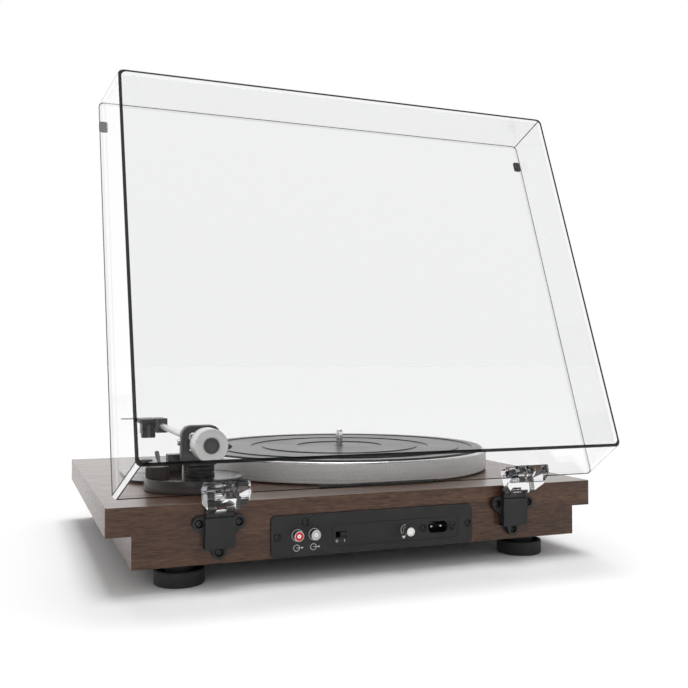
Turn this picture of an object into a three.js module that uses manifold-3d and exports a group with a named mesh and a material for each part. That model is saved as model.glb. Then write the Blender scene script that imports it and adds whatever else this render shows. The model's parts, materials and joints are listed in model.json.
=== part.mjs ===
// Belt-drive turntable record player with an open, hinged dust cover.
// Millimetres, +Z up. Dimensions are given from floor level under the centre of the plinth; the
// finished group is then centred on its outline with the cover open.
// +X is the tonearm side, -Y the front that the listener faces, +Y the rear with the sockets.
import * as THREE from 'three';
import { mergeVertices } from 'three/addons/utils/BufferGeometryUtils.js';
import Module from 'manifold-3d';

const wasm = await Module();
wasm.setup();

// ---- driving dimensions -------------------------------------------------------------------
const GAP = 0.3; // clearance between pieces that touch

const FOOT = { height: 17.7, cup: 12, radius: 19.4, neck: 11.5, x: 152, y: 147.5 };
const PLINTH = {
  width: 420, depth: 345, bottom: 18, bodyHeight: 24.5, slabHeight: 21.5, inset: 18.6, wall: 14, corner: 2.5,
};
const WINDOW = { x: -2, width: 150, height: 24, bottom: 22 };
const VENT = { x: 100, length: 40, width: 4, spacing: 20 };
const SLAB_Z = PLINTH.bottom + PLINTH.bodyHeight;
const TOP_Z = SLAB_Z + PLINTH.slabHeight;
const REAR_Y = PLINTH.depth / 2;
const COVER_PLATE = 3;
const PILOT = 1.5; // radius of the hole for a screw

const PLATTER = {
  x: -41, y: -12, radius: 148, bottom: TOP_Z + 1.3, height: 18.7, recess: 1.5,
  web: 4, rim: 5, ring: 70, hub: 12,
};
const MAT = { radius: 143.5, inner: 4.5, thickness: 2.7, top: TOP_Z + 21.5 };
const SPINDLE = { radius: 3.6, top: MAT.top + 16.8, bottom: 47 };
const BUSH = { outer: 9, inner: SPINDLE.radius + GAP, flange: 15, flangeHeight: 3 };
const MOTOR = { x: -121, y: 63, radius: 18, height: 19, shaft: 1.5 };
const PULLEY = { radius: 6, flange: 7.5, height: 9, bottom: TOP_Z + 2 };
const BELT = { width: 5, thickness: 0.8, clearance: 0.7 };

const HINGE = { x: 127.5, y: 178.5, z: 60.8, openAngle: 69.5, knuckle: 4, pin: 1.5 };
const HOLDER = {
  ear: 5.2, reach: 15.3, earZ: 49.2, lowZ: 27.2, foot: 6.8, flange: 4.2, depth: 8.2, width: 23,
  bottom: 30.5, top: 53.5,
};
const LUG = { span: 21, slot: 8.4, depth: 4, set: 1, overlap: 1 }; // set towards the front
const LID = {
  width: 412.2, depth: 340.6, height: 58.2, wall: 3, draft: 9.5, corner: 4.5, rimZ: 66.4, rearY: 169.7,
};
const BRACKET = {
  width: 35, foot: 24, tip: 31, inner: 10, reach: 27.5, low: 7, wide: 13.5, high: 22.5, rear: 4,
};
const BUMPER = { width: 7, length: 10, height: 2, fromFront: 24 };
const BUFFER = { x: -2.7, length: 104, height: 2 };

const PANEL = { x: -1.2, width: 175.4, bottom: 18.3, height: 32.5, thickness: 1.5, corner: 4 };
const PANEL_SCREWS = [[81.5, 34.5], [58.5, 44.6], [-85, 34.5]]; // x and z
const RCA = { x: [65.4, 51.6], z: 35, barrel: 3.9, bore: 1.7, length: 5.4, rear: 12 };
const SWITCH = { x: 28.7, z: 33.2, slot: [9.6, 4.6], knob: [5.6, 3.9], depth: 9, wall: 4 };
const GROUND = { x: -27.6, z: 32.7, post: 2, nut: 3.6, nutLength: 8 };
const INLET = {
  x: -56.9, z: 33.2, width: 18, height: 9.5, corner: 4, depth: 13, flange: [35, 13], screw: 13.4,
};
const CIRCUIT = { x: -6, y: 136, z: 24.6, width: 150, depth: 34, thickness: 1.6 };

const ARM = { x: 126, y: 100, z: 103.4, tube: 3.1, front: -94, shaft: 5, shaftEnd: 136.5, pivot: 2 };
const ARM_BASE = { x: 129.5, y: 92, radius: 41, top: 75, edge: 1.5, cable: 5 };
const HOUSING = { x: 143.5, y: 77, width: 12, length: 10, top: 91.5 }; // of the arm lift
const APRON = { x: 143, y: 4, width: 66, length: 106, height: 2.5, corner: 22 };
const PILLAR = { radius: 12, top: 83 };
const YOKE = { width: 33, height: 34.2, depth: 9, member: 6, sill: 95.5, corner: 9, screw: 2.6 };
const SIDE_SCREW = { z: 98.4, stem: 1, head: 2.2, end: 99 };
const HUB = { width: 15, depth: 12.5, height: 12, corner: 2.5 };
const WEIGHT = { radius: 13.6, front: 126.3, rear: 143.5, ringFront: 120.5, cap: 6.2 };
const SHELL = {
  width: 28, x: 133.2, front: -132, rear: -100, top: 110.3, plate: 4.2, collar: [11.5, 14.6, 13],
};
const CARTRIDGE = { x: 136.8, y: -117.5, width: 13.5, length: 19, height: 15.6 };
const FINGER = { length: 16, width: 5, thickness: 1.8, y: -124, rise: 0.6 };
const DIAL = { x: 161, y: 99, radius: 9.7, height: 9, ribs: 30, rib: 0.6 };
const LIFT = { x: 113.4, y: 76, radius: 31, rail: 5, stem: 2.4, guide: 4.5, guideHeight: 7 };
const LEVER = { x: 153.5, y: 68, z: 79, length: 23.5, radius: 2, angle: 30, ear: 4 };
const REST = { y: 58.5, width: 12, length: 7, cheek: 2.6, hinge: 108.2, pin: 0.9 };
const CLIP = { width: 2.4, height: 6.5, depth: 2 };
const KNOB = { x: 100, y: -112, radius: 14, height: 7, stem: 3 };
const BUTTON = { x: 139, y: -108, radius: 6.3, height: 2.2, stem: 2.5, travel: 1.2 };

// ---- geometry helpers ---------------------------------------------------------------------
const HALF_TURN = Math.PI;
const radians = THREE.MathUtils.degToRad;

function place(geometry, x, y, z) {
  return geometry.translate(x, y, z);
}

// a box given by its centre in x and y and its lowest z
function block(width, depth, height, x, y, z) {
  return place(new THREE.BoxGeometry(width, depth, height), x, y, z + height / 2);
}

// an upright cylinder or cone standing on z
function post(radius, height, x, y, z, segments = 32, topRadius = radius) {
  const geometry = new THREE.CylinderGeometry(topRadius, radius, height, segments);
  return place(geometry.rotateX(HALF_TURN / 2), x, y, z + height / 2);
}

// a cylinder along Y from y0 to y1
function rodY(radius, y0, y1, x, z, segments = 24) {
  const geometry = new THREE.CylinderGeometry(radius, radius, y1 - y0, segments);
  return place(geometry, x, (y0 + y1) / 2, z);
}

// a cylinder along X, centred on x
function rodX(radius, length, x, y, z, segments = 16) {
  const geometry = new THREE.CylinderGeometry(radius, radius, length, segments);
  return place(geometry.rotateZ(HALF_TURN / 2), x, y, z);
}

// a turned piece: [radius, height] points from the axis back to the axis, or a closed loop
function turned(points, segments, x = 0, y = 0, z = 0) {
  const profile = points.map(([radius, height]) => new THREE.Vector2(radius, height));
  const geometry = new THREE.LatheGeometry(profile, segments);
  return place(geometry.rotateX(HALF_TURN / 2), x, y, z);
}

function roundedRectangle(width, height, radius, Type = THREE.Shape) {
  const shape = new Type();
  const w = width / 2 - radius;
  const h = height / 2 - radius;
  shape.absarc(w, h, radius, 0, HALF_TURN / 2);
  shape.absarc(-w, h, radius, HALF_TURN / 2, HALF_TURN);
  shape.absarc(-w, -h, radius, HALF_TURN, 1.5 * HALF_TURN);
  shape.absarc(w, -h, radius, 1.5 * HALF_TURN, 2 * HALF_TURN);
  shape.closePath();
  return shape;
}

function polygon(points) {
  return new THREE.Shape(points.map(([x, y]) => new THREE.Vector2(x, y)));
}

// a shape drawn in plan and raised from z
function raised(shape, height, x, y, z, curveSegments = 2) {
  const geometry = new THREE.ExtrudeGeometry(shape, { depth: height, bevelEnabled: false, curveSegments });
  return place(geometry, x, y, z);
}

// a shape drawn on the rear face (x to the right, z up), running from y0 to y1
function platedY(shape, y0, y1, x, z, curveSegments = 2) {
  const geometry = new THREE.ExtrudeGeometry(shape, { depth: y1 - y0, bevelEnabled: false, curveSegments });
  return place(geometry.rotateX(HALF_TURN / 2), x, y1, z);
}

// a side profile drawn as [y, z] points, extruded along X around its centre
function profiledX(points, length, x) {
  const geometry = new THREE.ExtrudeGeometry(polygon(points), { depth: length, bevelEnabled: false });
  geometry.rotateZ(HALF_TURN / 2).rotateY(HALF_TURN / 2);
  return place(geometry, x - length / 2, 0, 0);
}

function toSolid(geometry) {
  const bare = geometry.clone();
  bare.deleteAttribute('normal');
  bare.deleteAttribute('uv');
  const merged = mergeVertices(bare, 1e-4);
  const vertProperties = new Float32Array(merged.attributes.position.array);
  const triVerts = new Uint32Array(merged.index.array);
  return new wasm.Manifold(new wasm.Mesh({ numProp: 3, vertProperties, triVerts }));
}

function fromSolid(solid) {
  const mesh = solid.getMesh();
  const geometry = new THREE.BufferGeometry();
  geometry.setAttribute('position', new THREE.BufferAttribute(new Float32Array(mesh.vertProperties), 3));
  geometry.setIndex(new THREE.BufferAttribute(new Uint32Array(mesh.triVerts), 1));
  geometry.computeVertexNormals();
  return geometry;
}

function join(first, ...others) {
  return fromSolid(others.reduce((solid, geometry) => solid.add(toSolid(geometry)), toSolid(first)));
}

function cut(first, ...tools) {
  return fromSolid(tools.reduce((solid, geometry) => solid.subtract(toSolid(geometry)), toSolid(first)));
}

function common(first, second) {
  return fromSolid(toSolid(first).intersect(toSolid(second)));
}

// ---- materials ----------------------------------------------------------------------------
function material(color, roughness, metalness = 0, extra = {}) {
  return new THREE.MeshStandardMaterial({ color, roughness, metalness, ...extra });
}

const walnut = material(0x5b4436, 0.5);
const blackPlastic = material(0x26272a, 0.5);
const blackRubber = material(0x161616, 0.8);
const darkGrey = material(0x3a3b3d, 0.45);
const satinAluminium = material(0xb4b4b2, 0.35, 1);
const chrome = material(0xd6d6d6, 0.12, 1);
const steel = material(0x8d9094, 0.3, 1);
const brass = material(0xb08a45, 0.3, 1);
const clearAcrylic = material(0xf2f4f5, 0.05, 0, { transparent: true, opacity: 0.25 });
const greenBoard = material(0x245c3a, 0.6);
const redPlastic = material(0xc8242b, 0.4);
const whitePlastic = material(0xe8e8e6, 0.4);

// ---- plinth and feet ----------------------------------------------------------------------
function screwSpots() {
  const inlet = [[INLET.x - INLET.screw, INLET.z], [INLET.x + INLET.screw, INLET.z]];
  return { panel: PANEL_SCREWS, inlet };
}

// an upright hole right through the slab
function slabHole(radius, x, y, segments) {
  return post(radius, PLINTH.slabHeight + 2, x, y, SLAB_Z - 1, segments);
}

function plinthShell() {
  const { width, depth, corner, inset, wall, bottom, bodyHeight, slabHeight } = PLINTH;
  const slab = raised(roundedRectangle(width, depth, corner), slabHeight, 0, 0, SLAB_Z);
  const bodyWidth = width - 2 * inset;
  const body = block(bodyWidth, depth, bodyHeight + 1, 0, 0, bottom);
  const hollow = block(bodyWidth - 2 * wall, depth - 2 * wall, bodyHeight + 1, 0, 0, bottom - 1);
  const socketWindow = block(WINDOW.width, wall + 6, WINDOW.height, WINDOW.x, REAR_Y - 5, WINDOW.bottom);
  const bearingSeat = post(BUSH.flange + GAP, BUSH.flangeHeight + 1, PLATTER.x, PLATTER.y,
    TOP_Z - BUSH.flangeHeight - GAP, 24);
  const holes = [
    slabHole(BUSH.outer + GAP, PLATTER.x, PLATTER.y, 24),
    slabHole(PULLEY.flange + 2, MOTOR.x, MOTOR.y, 20),
    slabHole(ARM_BASE.cable + 3, ARM.x, ARM.y, 20),
    slabHole(KNOB.stem + 0.5, KNOB.x, KNOB.y, 12),
    slabHole(BUTTON.stem + 0.5, BUTTON.x, BUTTON.y, 12),
    ...screwSpots().panel.map(([x, z]) => rodY(PILOT, REAR_Y - 8, REAR_Y + 1, x, z, 8)),
  ];
  return cut(join(slab, body), hollow, socketWindow, bearingSeat, ...holes);
}

function bottomCover() {
  const width = PLINTH.width - 2 * (PLINTH.inset + PLINTH.wall + GAP);
  const depth = PLINTH.depth - 2 * (PLINTH.wall + GAP);
  const height = COVER_PLATE + 2;
  const vents = [-1, 0, 1].map((step) => block(VENT.length, VENT.width, height, VENT.x,
    step * VENT.spacing, PLINTH.bottom - 1));
  return cut(block(width, depth, COVER_PLATE, 0, 0, PLINTH.bottom), ...vents);
}

// a cup with a recessed top, on a neck that screws to the bottom cover
function foot(x, y) {
  const profile = [[0, 0], [FOOT.radius - 1.5, 0], [FOOT.radius, 2], [FOOT.radius, FOOT.cup],
    [FOOT.radius - 2.5, FOOT.cup], [FOOT.radius - 3, FOOT.cup - 3], [FOOT.neck, FOOT.cup - 3],
    [FOOT.neck, FOOT.height], [0, FOOT.height]];
  return turned(profile, 20, x, y);
}

// ---- platter and drive --------------------------------------------------------------------
// a cast dish: outer rim, web, belt ring underneath and a hub around the spindle
function platter() {
  const { radius, height, web, rim, ring, hub, recess } = PLATTER;
  const face = height - recess;
  const webBottom = face - web;
  const bore = SPINDLE.radius + GAP;
  const ringInner = ring - 5;
  const profile = [[radius, 0], [radius, face], [radius - 1.5, height], [radius - 3, face], [bore, face],
    [bore, 4], [hub, 4], [hub, webBottom], [ringInner, webBottom], [ringInner, 2], [ring, 2],
    [ring, webBottom], [radius - rim, webBottom], [radius - rim, 0], [radius, 0]];
  return turned(profile, 56, PLATTER.x, PLATTER.y, PLATTER.bottom);
}

function platterMat() {
  const bottom = MAT.top - MAT.thickness;
  const profile = [[MAT.inner, 0], [MAT.radius, 0], [MAT.radius, MAT.thickness], [MAT.inner, MAT.thickness],
    [MAT.inner, 0]];
  return turned(profile, 56, PLATTER.x, PLATTER.y, bottom);
}

// shaft with a shoulder that carries the platter hub, and a rounded top
function spindle() {
  const shoulder = PLATTER.bottom + 4 - GAP;
  const { radius, top, bottom } = SPINDLE;
  const profile = [[0, bottom], [radius, bottom], [radius, shoulder - 2], [radius + 3, shoulder - 2],
    [radius + 3, shoulder], [radius, shoulder], [radius, top - 3], [radius - 0.8, top - 1.2],
    [radius - 2.1, top - 0.3], [0, top]];
  return turned(profile, 16, PLATTER.x, PLATTER.y);
}

function bearingHousing() {
  const { outer, inner, flange, flangeHeight } = BUSH;
  const floor = SPINDLE.bottom - GAP;
  const bottom = floor - 2.7;
  const seat = TOP_Z - flangeHeight;
  const profile = [[0, bottom], [outer, bottom], [outer, seat], [flange, seat], [flange, TOP_Z],
    [inner, TOP_Z], [inner, floor], [0, floor]];
  return turned(profile, 24, PLATTER.x, PLATTER.y);
}

function motor() {
  const top = SLAB_Z - GAP;
  const shaftHeight = PULLEY.bottom + PULLEY.height - 1 - top;
  const can = post(MOTOR.radius, MOTOR.height, MOTOR.x, MOTOR.y, top - MOTOR.height, 28);
  return join(can, post(MOTOR.shaft, shaftHeight, MOTOR.x, MOTOR.y, top - 1, 12));
}

function motorPulley() {
  const { radius, flange, height, bottom } = PULLEY;
  const bore = MOTOR.shaft + GAP;
  const profile = [[bore, 0], [flange, 0], [flange, 1], [radius, 1.8], [radius, height - 1.8],
    [flange, height - 1], [flange, height], [bore, height], [bore, 0]];
  return turned(profile, 20, MOTOR.x, MOTOR.y, bottom);
}

// a flat band around the platter's belt ring and the pulley: two arcs and two tangents
function driveBelt() {
  const dx = MOTOR.x - PLATTER.x;
  const dy = MOTOR.y - PLATTER.y;
  const span = Math.hypot(dx, dy);
  const loop = (offset, Type) => {
    const large = PLATTER.ring + BELT.clearance + offset;
    const small = PULLEY.radius + BELT.clearance + offset;
    const lean = Math.acos((large - small) / span);
    const path = new Type();
    path.absarc(0, 0, large, lean, 2 * HALF_TURN - lean);
    path.absarc(span, 0, small, -lean, lean);
    path.closePath();
    return path;
  };
  const band = loop(BELT.thickness, THREE.Shape);
  band.holes.push(loop(0, THREE.Path));
  const bottom = PULLEY.bottom + (PULLEY.height - BELT.width) / 2;
  const geometry = raised(band, BELT.width, 0, 0, 0, 10).rotateZ(Math.atan2(dy, dx));
  return place(geometry, PLATTER.x, PLATTER.y, bottom);
}

// ---- rear panel and sockets ---------------------------------------------------------------
const PANEL_Y = REAR_Y + GAP;
const PANEL_FACE = PANEL_Y + PANEL.thickness;

function rearPanel() {
  const plate = platedY(roundedRectangle(PANEL.width, PANEL.height, PANEL.corner), PANEL_Y, PANEL_FACE,
    PANEL.x, PANEL.bottom + PANEL.height / 2);
  const through = [PANEL_Y - 1, PANEL_FACE + 1];
  const holes = RCA.x.map((x) => rodY(RCA.barrel + GAP, ...through, x, RCA.z, 20));
  holes.push(block(SWITCH.slot[0], 6, SWITCH.slot[1], SWITCH.x, PANEL_Y, SWITCH.z - SWITCH.slot[1] / 2));
  holes.push(rodY(GROUND.post + GAP, ...through, GROUND.x, GROUND.z, 16));
  const plug = roundedRectangle(INLET.width, INLET.height, INLET.corner);
  holes.push(platedY(plug, ...through, INLET.x, INLET.z, 2));
  const { panel, inlet } = screwSpots();
  [...panel, ...inlet].forEach(([x, z]) => holes.push(rodY(PILOT, ...through, x, z, 8)));
  return cut(plate, ...holes);
}

function panelScrew([x, z]) {
  return join(rodY(1.2, REAR_Y - 5, PANEL_FACE + 0.5, x, z, 8),
    rodY(2.7, PANEL_FACE + 0.2, PANEL_FACE + 1.6, x, z, 16));
}

function rcaBarrel(x) {
  const barrel = rodY(RCA.barrel, REAR_Y - RCA.rear, PANEL_FACE + RCA.length, x, RCA.z, 20);
  const bore = rodY(RCA.bore, PANEL_FACE, PANEL_FACE + RCA.length + 1, x, RCA.z, 12);
  return cut(barrel, bore);
}

// a hollow box behind the panel whose open face lines up with the slot
function switchHousing() {
  const [width, height] = SWITCH.slot;
  const { x, z, depth, wall } = SWITCH;
  const middle = REAR_Y - depth / 2 - 0.1;
  const shell = block(width + 2 * wall, depth, height + 5, x, middle, z - height / 2 - 2.5);
  return cut(shell, block(width, depth - 1, height, x, middle + 2.1, z - height / 2));
}

function switchSlider() {
  const [width, height] = SWITCH.knob;
  const x = SWITCH.x - (SWITCH.slot[0] - width) / 2 + GAP;
  return block(width, 7, height, x, REAR_Y - 1, SWITCH.z - height / 2);
}

function groundPost() {
  return rodY(GROUND.post, REAR_Y - 8, PANEL_FACE + GROUND.nutLength - 1, GROUND.x, GROUND.z, 16);
}

function groundNut() {
  const { x, z } = GROUND;
  const rear = PANEL_FACE + GROUND.nutLength;
  const nut = rodY(GROUND.nut, PANEL_FACE + 1, rear + 1.5, x, z, 24);
  const bore = rodY(GROUND.post + GAP, PANEL_FACE, rear - 0.5, x, z, 16);
  return cut(nut, bore);
}

// flange behind the panel and a recess shaped like the plug
function mainsInlet() {
  const { x, z, width, height, corner, depth } = INLET;
  const [flangeWidth, flangeHeight] = INLET.flange;
  const flange = block(flangeWidth, 2, flangeHeight, x, REAR_Y - 1, z - flangeHeight / 2);
  const outer = roundedRectangle(width + 2.4, height + 2.4, corner + 1);
  const body = platedY(outer, REAR_Y - depth - 3, REAR_Y - 1, x, z, 2);
  const recess = platedY(roundedRectangle(width, height, corner), REAR_Y - depth, REAR_Y + 3, x, z, 2);
  const holes = screwSpots().inlet.map(([sx, sz]) => rodY(PILOT, REAR_Y - 3, REAR_Y + 1, sx, sz, 8));
  return cut(join(flange, body), recess, ...holes);
}

function circuitBoard() {
  const { x, y, z, width, depth, thickness } = CIRCUIT;
  return block(width, depth, thickness, x, y, z);
}

// ---- dust cover and hinges ----------------------------------------------------------------
// the cover's pieces are drawn closed and turned open around the hinge axis
const LID_CENTRE_Y = LID.rearY - LID.depth / 2;
const WALL_LEAN = LID.draft / LID.height;

// a rounded rectangle that tapers towards its top
function tapered(width, depth, height, corner, lean, z) {
  const shape = roundedRectangle(width, depth, corner);
  const geometry = raised(shape, height, 0, 0, 0, 3);
  const position = geometry.attributes.position;
  for (let i = 0; i < position.count; i += 1) {
    const inward = position.getZ(i) * lean;
    const x = position.getX(i) * (1 - (2 * inward) / width);
    const y = position.getY(i) * (1 - (2 * inward) / depth);
    position.setXY(i, x, y);
  }
  return place(geometry, 0, LID_CENTRE_Y, z);
}

function dustCover() {
  const { width, depth, height, wall, corner, rimZ } = LID;
  const outer = tapered(width, depth, height, corner, WALL_LEAN, rimZ);
  const below = 5;
  const spread = 2 * (below * WALL_LEAN - wall);
  const inner = tapered(width + spread, depth + spread, height - wall + below, corner - wall + 1,
    WALL_LEAN, rimZ - below);
  return cut(outer, inner);
}

// height of the cover's outer rear face at a height above the rim
function rearFace(height) {
  return LID.rearY - height * WALL_LEAN;
}

function coverBumper(side) {
  const x = side * (LID.width / 2 - BUMPER.width / 2);
  const y = LID.rearY - LID.depth + BUMPER.fromFront;
  return block(BUMPER.width, BUMPER.length, BUMPER.height, x, y, LID.rimZ - GAP - BUMPER.height);
}

function rearBuffer() {
  const y = LID.rearY - LID.wall / 2;
  return block(BUFFER.length, LID.wall, BUFFER.height, BUFFER.x, y, LID.rimZ - GAP - BUFFER.height);
}

// three screw ears around a box, a neck, and two lugs that carry the pin
function hingeHolder(x) {
  const { ear, reach, earZ, lowZ, foot, flange, depth, width, bottom, top } = HOLDER;
  const ears = new THREE.Shape();
  const half = width / 2;
  const waist = (earZ + bottom) / 2;
  ears.absarc(reach, earZ, ear, -0.9, HALF_TURN / 2);
  ears.absarc(-reach, earZ, ear, HALF_TURN / 2, HALF_TURN + 0.9);
  ears.lineTo(-half, waist);
  ears.lineTo(-half, bottom + 1);
  ears.lineTo(-foot, bottom + 1);
  ears.absarc(0, lowZ, ear, HALF_TURN + 0.6, 2 * HALF_TURN - 0.6);
  ears.lineTo(foot, bottom + 1);
  ears.lineTo(half, bottom + 1);
  ears.lineTo(half, waist);
  ears.closePath();
  const base = REAR_Y + GAP;
  const plate = platedY(ears, base, base + flange, x, 0, 2);
  const box = block(width, depth, top - bottom, x, base + depth / 2, bottom);
  const neckTop = HINGE.z - HINGE.knuckle - 0.2;
  const neck = block(LUG.span, LUG.depth, neckTop - top + 0.1, x, HINGE.y - LUG.set, top - 0.1);
  const root = top - LUG.overlap;
  const lug = block(LUG.span, LUG.depth, HINGE.z - root, x, HINGE.y - LUG.set, root);
  const eyes = rodX(HINGE.knuckle, LUG.span, x, HINGE.y, HINGE.z, 20);
  const between = block(LUG.slot, 3 * HINGE.knuckle, 10, x, HINGE.y, neckTop);
  const spots = [[x - reach, earZ], [x + reach, earZ], [x, lowZ]];
  const holes = spots.map(([sx, sz]) => rodY(PILOT, base - 1, base + flange + 1, sx, sz, 10));
  const bore = rodX(HINGE.pin + 0.05, LUG.span + 4, x, HINGE.y, HINGE.z, 16);
  return cut(join(plate, box, neck, lug, eyes), between, ...holes, bore);
}

function hingePin(x) {
  return rodX(HINGE.pin, LUG.span, x, HINGE.y, HINGE.z, 16);
}

// a wedge against the cover's rear wall, a web under its rim and a knuckle between the lugs
function hingeBracket(x) {
  const { inner, reach, width, foot, tip, low, wide, high, rear } = BRACKET;
  const outside = (height) => rearFace(height) + GAP;
  const inside = (height) => rearFace(height) - LID.wall - GAP - 0.1;
  const rim = LID.rimZ;
  const web = rim - 1.7;
  const wedge = profiledX([[HINGE.y + rear, web], [HINGE.y + rear, rim + low],
    [outside(reach) + 5, rim + reach], [outside(reach), rim + reach], [outside(0), rim - GAP],
    [inside(0), rim - GAP], [inside(inner), rim + inner], [inside(inner) - 2.5, rim + inner],
    [inside(0) - 3.5, web]], width, x);
  const half = [[foot / 2, web - 1], [foot / 2, rim + low], [width / 2, rim + wide], [width / 2, rim + high],
    [tip / 2, rim + reach + 1]];
  const mirrored = half.map(([px, pz]) => [-px, pz]).reverse();
  const plan = polygon([...half, ...mirrored]);
  const facets = common(wedge, platedY(plan, LID.rearY - 30, LID.rearY + 20, x, 0));
  const clearance = rodX(HINGE.knuckle + 0.4, LUG.span + 2 * GAP, x, HINGE.y, HINGE.z, 24);
  const thickness = LUG.slot - 0.8;
  const arm = block(thickness, 6.5, 10, x, HINGE.y - 1.3, HINGE.z);
  const knuckle = rodX(HINGE.knuckle, thickness, x, HINGE.y, HINGE.z, 20);
  const bore = rodX(HINGE.pin + 0.1, LUG.span, x, HINGE.y, HINGE.z, 16);
  return cut(join(cut(facets, clearance), arm, knuckle), bore);
}

// ---- tonearm ------------------------------------------------------------------------------
// a round drum and a low apron; the lift's guide and the lever's ear stand on the drum
function tonearmBase() {
  const bottom = TOP_Z + GAP;
  const { x, y, radius, top, edge, cable } = ARM_BASE;
  const drum = turned([[0, bottom], [radius, bottom], [radius, top - edge], [radius - edge, top], [0, top]],
    40, x, y);
  const plan = roundedRectangle(APRON.width, APRON.length, APRON.corner);
  const apron = raised(plan, APRON.height, APRON.x, APRON.y, bottom, 3);
  const guide = post(LIFT.guide, LIFT.guideHeight + 1, LIFT.x, LIFT.y, top - 1, 20);
  const earX = LEVER.x - LEVER.ear;
  const ear = block(2.5, 8, LEVER.z - top + 5, earX, LEVER.y, top - 1);
  const housing = block(HOUSING.width, HOUSING.length, HOUSING.top - top + 1, HOUSING.x, HOUSING.y, top - 1);
  const stemHole = post(LIFT.stem + GAP, 20, LIFT.x, LIFT.y, top - 5, 16);
  const leverHole = rodX(1.5, 10, earX, LEVER.y, LEVER.z, 12);
  const cableHole = post(cable, top - bottom + 4, ARM.x, ARM.y, bottom - 2, 16);
  return cut(join(drum, apron, guide, ear, housing), stemHole, leverHole, cableHole);
}

function armPillar() {
  const bottom = ARM_BASE.top + GAP;
  const profile = [[0, bottom], [PILLAR.radius, bottom], [PILLAR.radius, PILLAR.top - GAP],
    [0, PILLAR.top - GAP]];
  return turned(profile, 24, ARM.x, ARM.y);
}

// the loop that turns on the pillar and carries the arm's pivots and a side screw
function armYoke() {
  const { width, height, depth, member, sill, corner, screw } = YOKE;
  const half = width / 2;
  const top = PILLAR.top + height;
  const opening = top - member - sill;
  const y = ARM.y - depth / 2;
  const frame = platedY(roundedRectangle(width, height, corner), y, y + depth, ARM.x, top - height / 2, 3);
  const window = platedY(roundedRectangle(width - 2 * member, opening, corner - 5), y - 1, y + depth + 1,
    ARM.x, sill + opening / 2, 3);
  const screws = [-1, 1].map((side) => rodX(screw, 3, ARM.x + side * (half + 1), ARM.y, ARM.z, 14));
  const bores = rodX(ARM.pivot + GAP, width - 4, ARM.x, ARM.y, ARM.z, 14);
  const { z, stem, head, end } = SIDE_SCREW;
  const reach = ARM.x - half - end;
  const sideStem = rodX(stem, reach + 2, end + reach / 2 + 1, ARM.y, z, 12);
  const sideHead = rodX(head, 2.4, end + 2.6, ARM.y, z, 16);
  return join(cut(join(cut(frame, window), ...screws), bores), sideStem, sideHead);
}

// the block inside the loop, with its two pivots and the shaft for the counterweight
function armHub() {
  const pivotLength = YOKE.width - 2 * YOKE.member + 5;
  const plan = roundedRectangle(HUB.width, HUB.depth, HUB.corner);
  const body = raised(plan, HUB.height, ARM.x, ARM.y, ARM.z - HUB.height / 2);
  const pivots = rodX(ARM.pivot, pivotLength, ARM.x, ARM.y, ARM.z, 14);
  const shaft = rodY(ARM.shaft, ARM.y, ARM.shaftEnd, ARM.x, ARM.z, 24);
  const tubeSeat = rodY(ARM.tube + GAP, ARM.y - 12, ARM.y - 1, ARM.x, ARM.z, 24);
  return cut(join(body, pivots, shaft), tubeSeat);
}

function armTube() {
  return rodY(ARM.tube, ARM.front, ARM.y - 1.5, ARM.x, ARM.z, 24);
}

function headshell() {
  const [width, height, length] = SHELL.collar;
  const plateX = SHELL.x;
  const corner = 4;
  const plateLength = SHELL.rear - SHELL.front;
  const plate = raised(roundedRectangle(SHELL.width, plateLength, corner), SHELL.plate, plateX,
    (SHELL.front + SHELL.rear) / 2, SHELL.top - SHELL.plate);
  const collar = raised(roundedRectangle(width, length, 2.5), height, ARM.x, SHELL.rear + length / 2 - 2,
    SHELL.top + 1 - height);
  const seat = rodY(ARM.tube + GAP, ARM.front - GAP, SHELL.rear + length, ARM.x, ARM.z, 24);
  return cut(join(plate, collar), seat);
}

function fingerLift() {
  const { length, width, thickness, y, rise } = FINGER;
  const edge = SHELL.x + SHELL.width / 2 + GAP;
  const root = SHELL.top - SHELL.plate;
  const bar = block(length, width, thickness, edge + length / 2, y, SHELL.top + rise - thickness);
  return join(bar, block(thickness, width, SHELL.plate, edge + thickness / 2, y, root));
}

const CARTRIDGE_TOP = SHELL.top - SHELL.plate - GAP;
const CARTRIDGE_BOTTOM = CARTRIDGE_TOP - CARTRIDGE.height;

// body with a notch at the lower front for the stylus holder
function cartridge() {
  const { x, y, width, length, height } = CARTRIDGE;
  const body = block(width, length, height, x, y, CARTRIDGE_BOTTOM);
  const notch = block(width + 2, 9, 5, x, y - length / 2 + 3, CARTRIDGE_BOTTOM - 1);
  return cut(body, notch);
}

// holder, cantilever and tip in one piece
function stylus() {
  const { x, y, width, length } = CARTRIDGE;
  const front = y - length / 2;
  const holder = block(width - 3, 6.5, 3, x, front + 3.8, CARTRIDGE_BOTTOM + 0.5);
  const cantilever = block(0.9, 5, 0.9, x, front + 3, CARTRIDGE_BOTTOM);
  const tip = post(0.15, 2, x, front + 1.2, CARTRIDGE_BOTTOM - 1.6, 8, 0.4);
  return join(holder, cantilever, tip);
}

function trackingRing() {
  const { radius, ringFront, front } = WEIGHT;
  const bore = ARM.shaft + GAP;
  const length = front - GAP - ringFront;
  const profile = [[bore, 0], [radius - 1.2, 0], [radius - 0.4, 0.8], [radius - 0.4, length],
    [bore, length], [bore, 0]];
  return place(turned(profile, 28).rotateX(-HALF_TURN / 2), ARM.x, ringFront, ARM.z);
}

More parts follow.
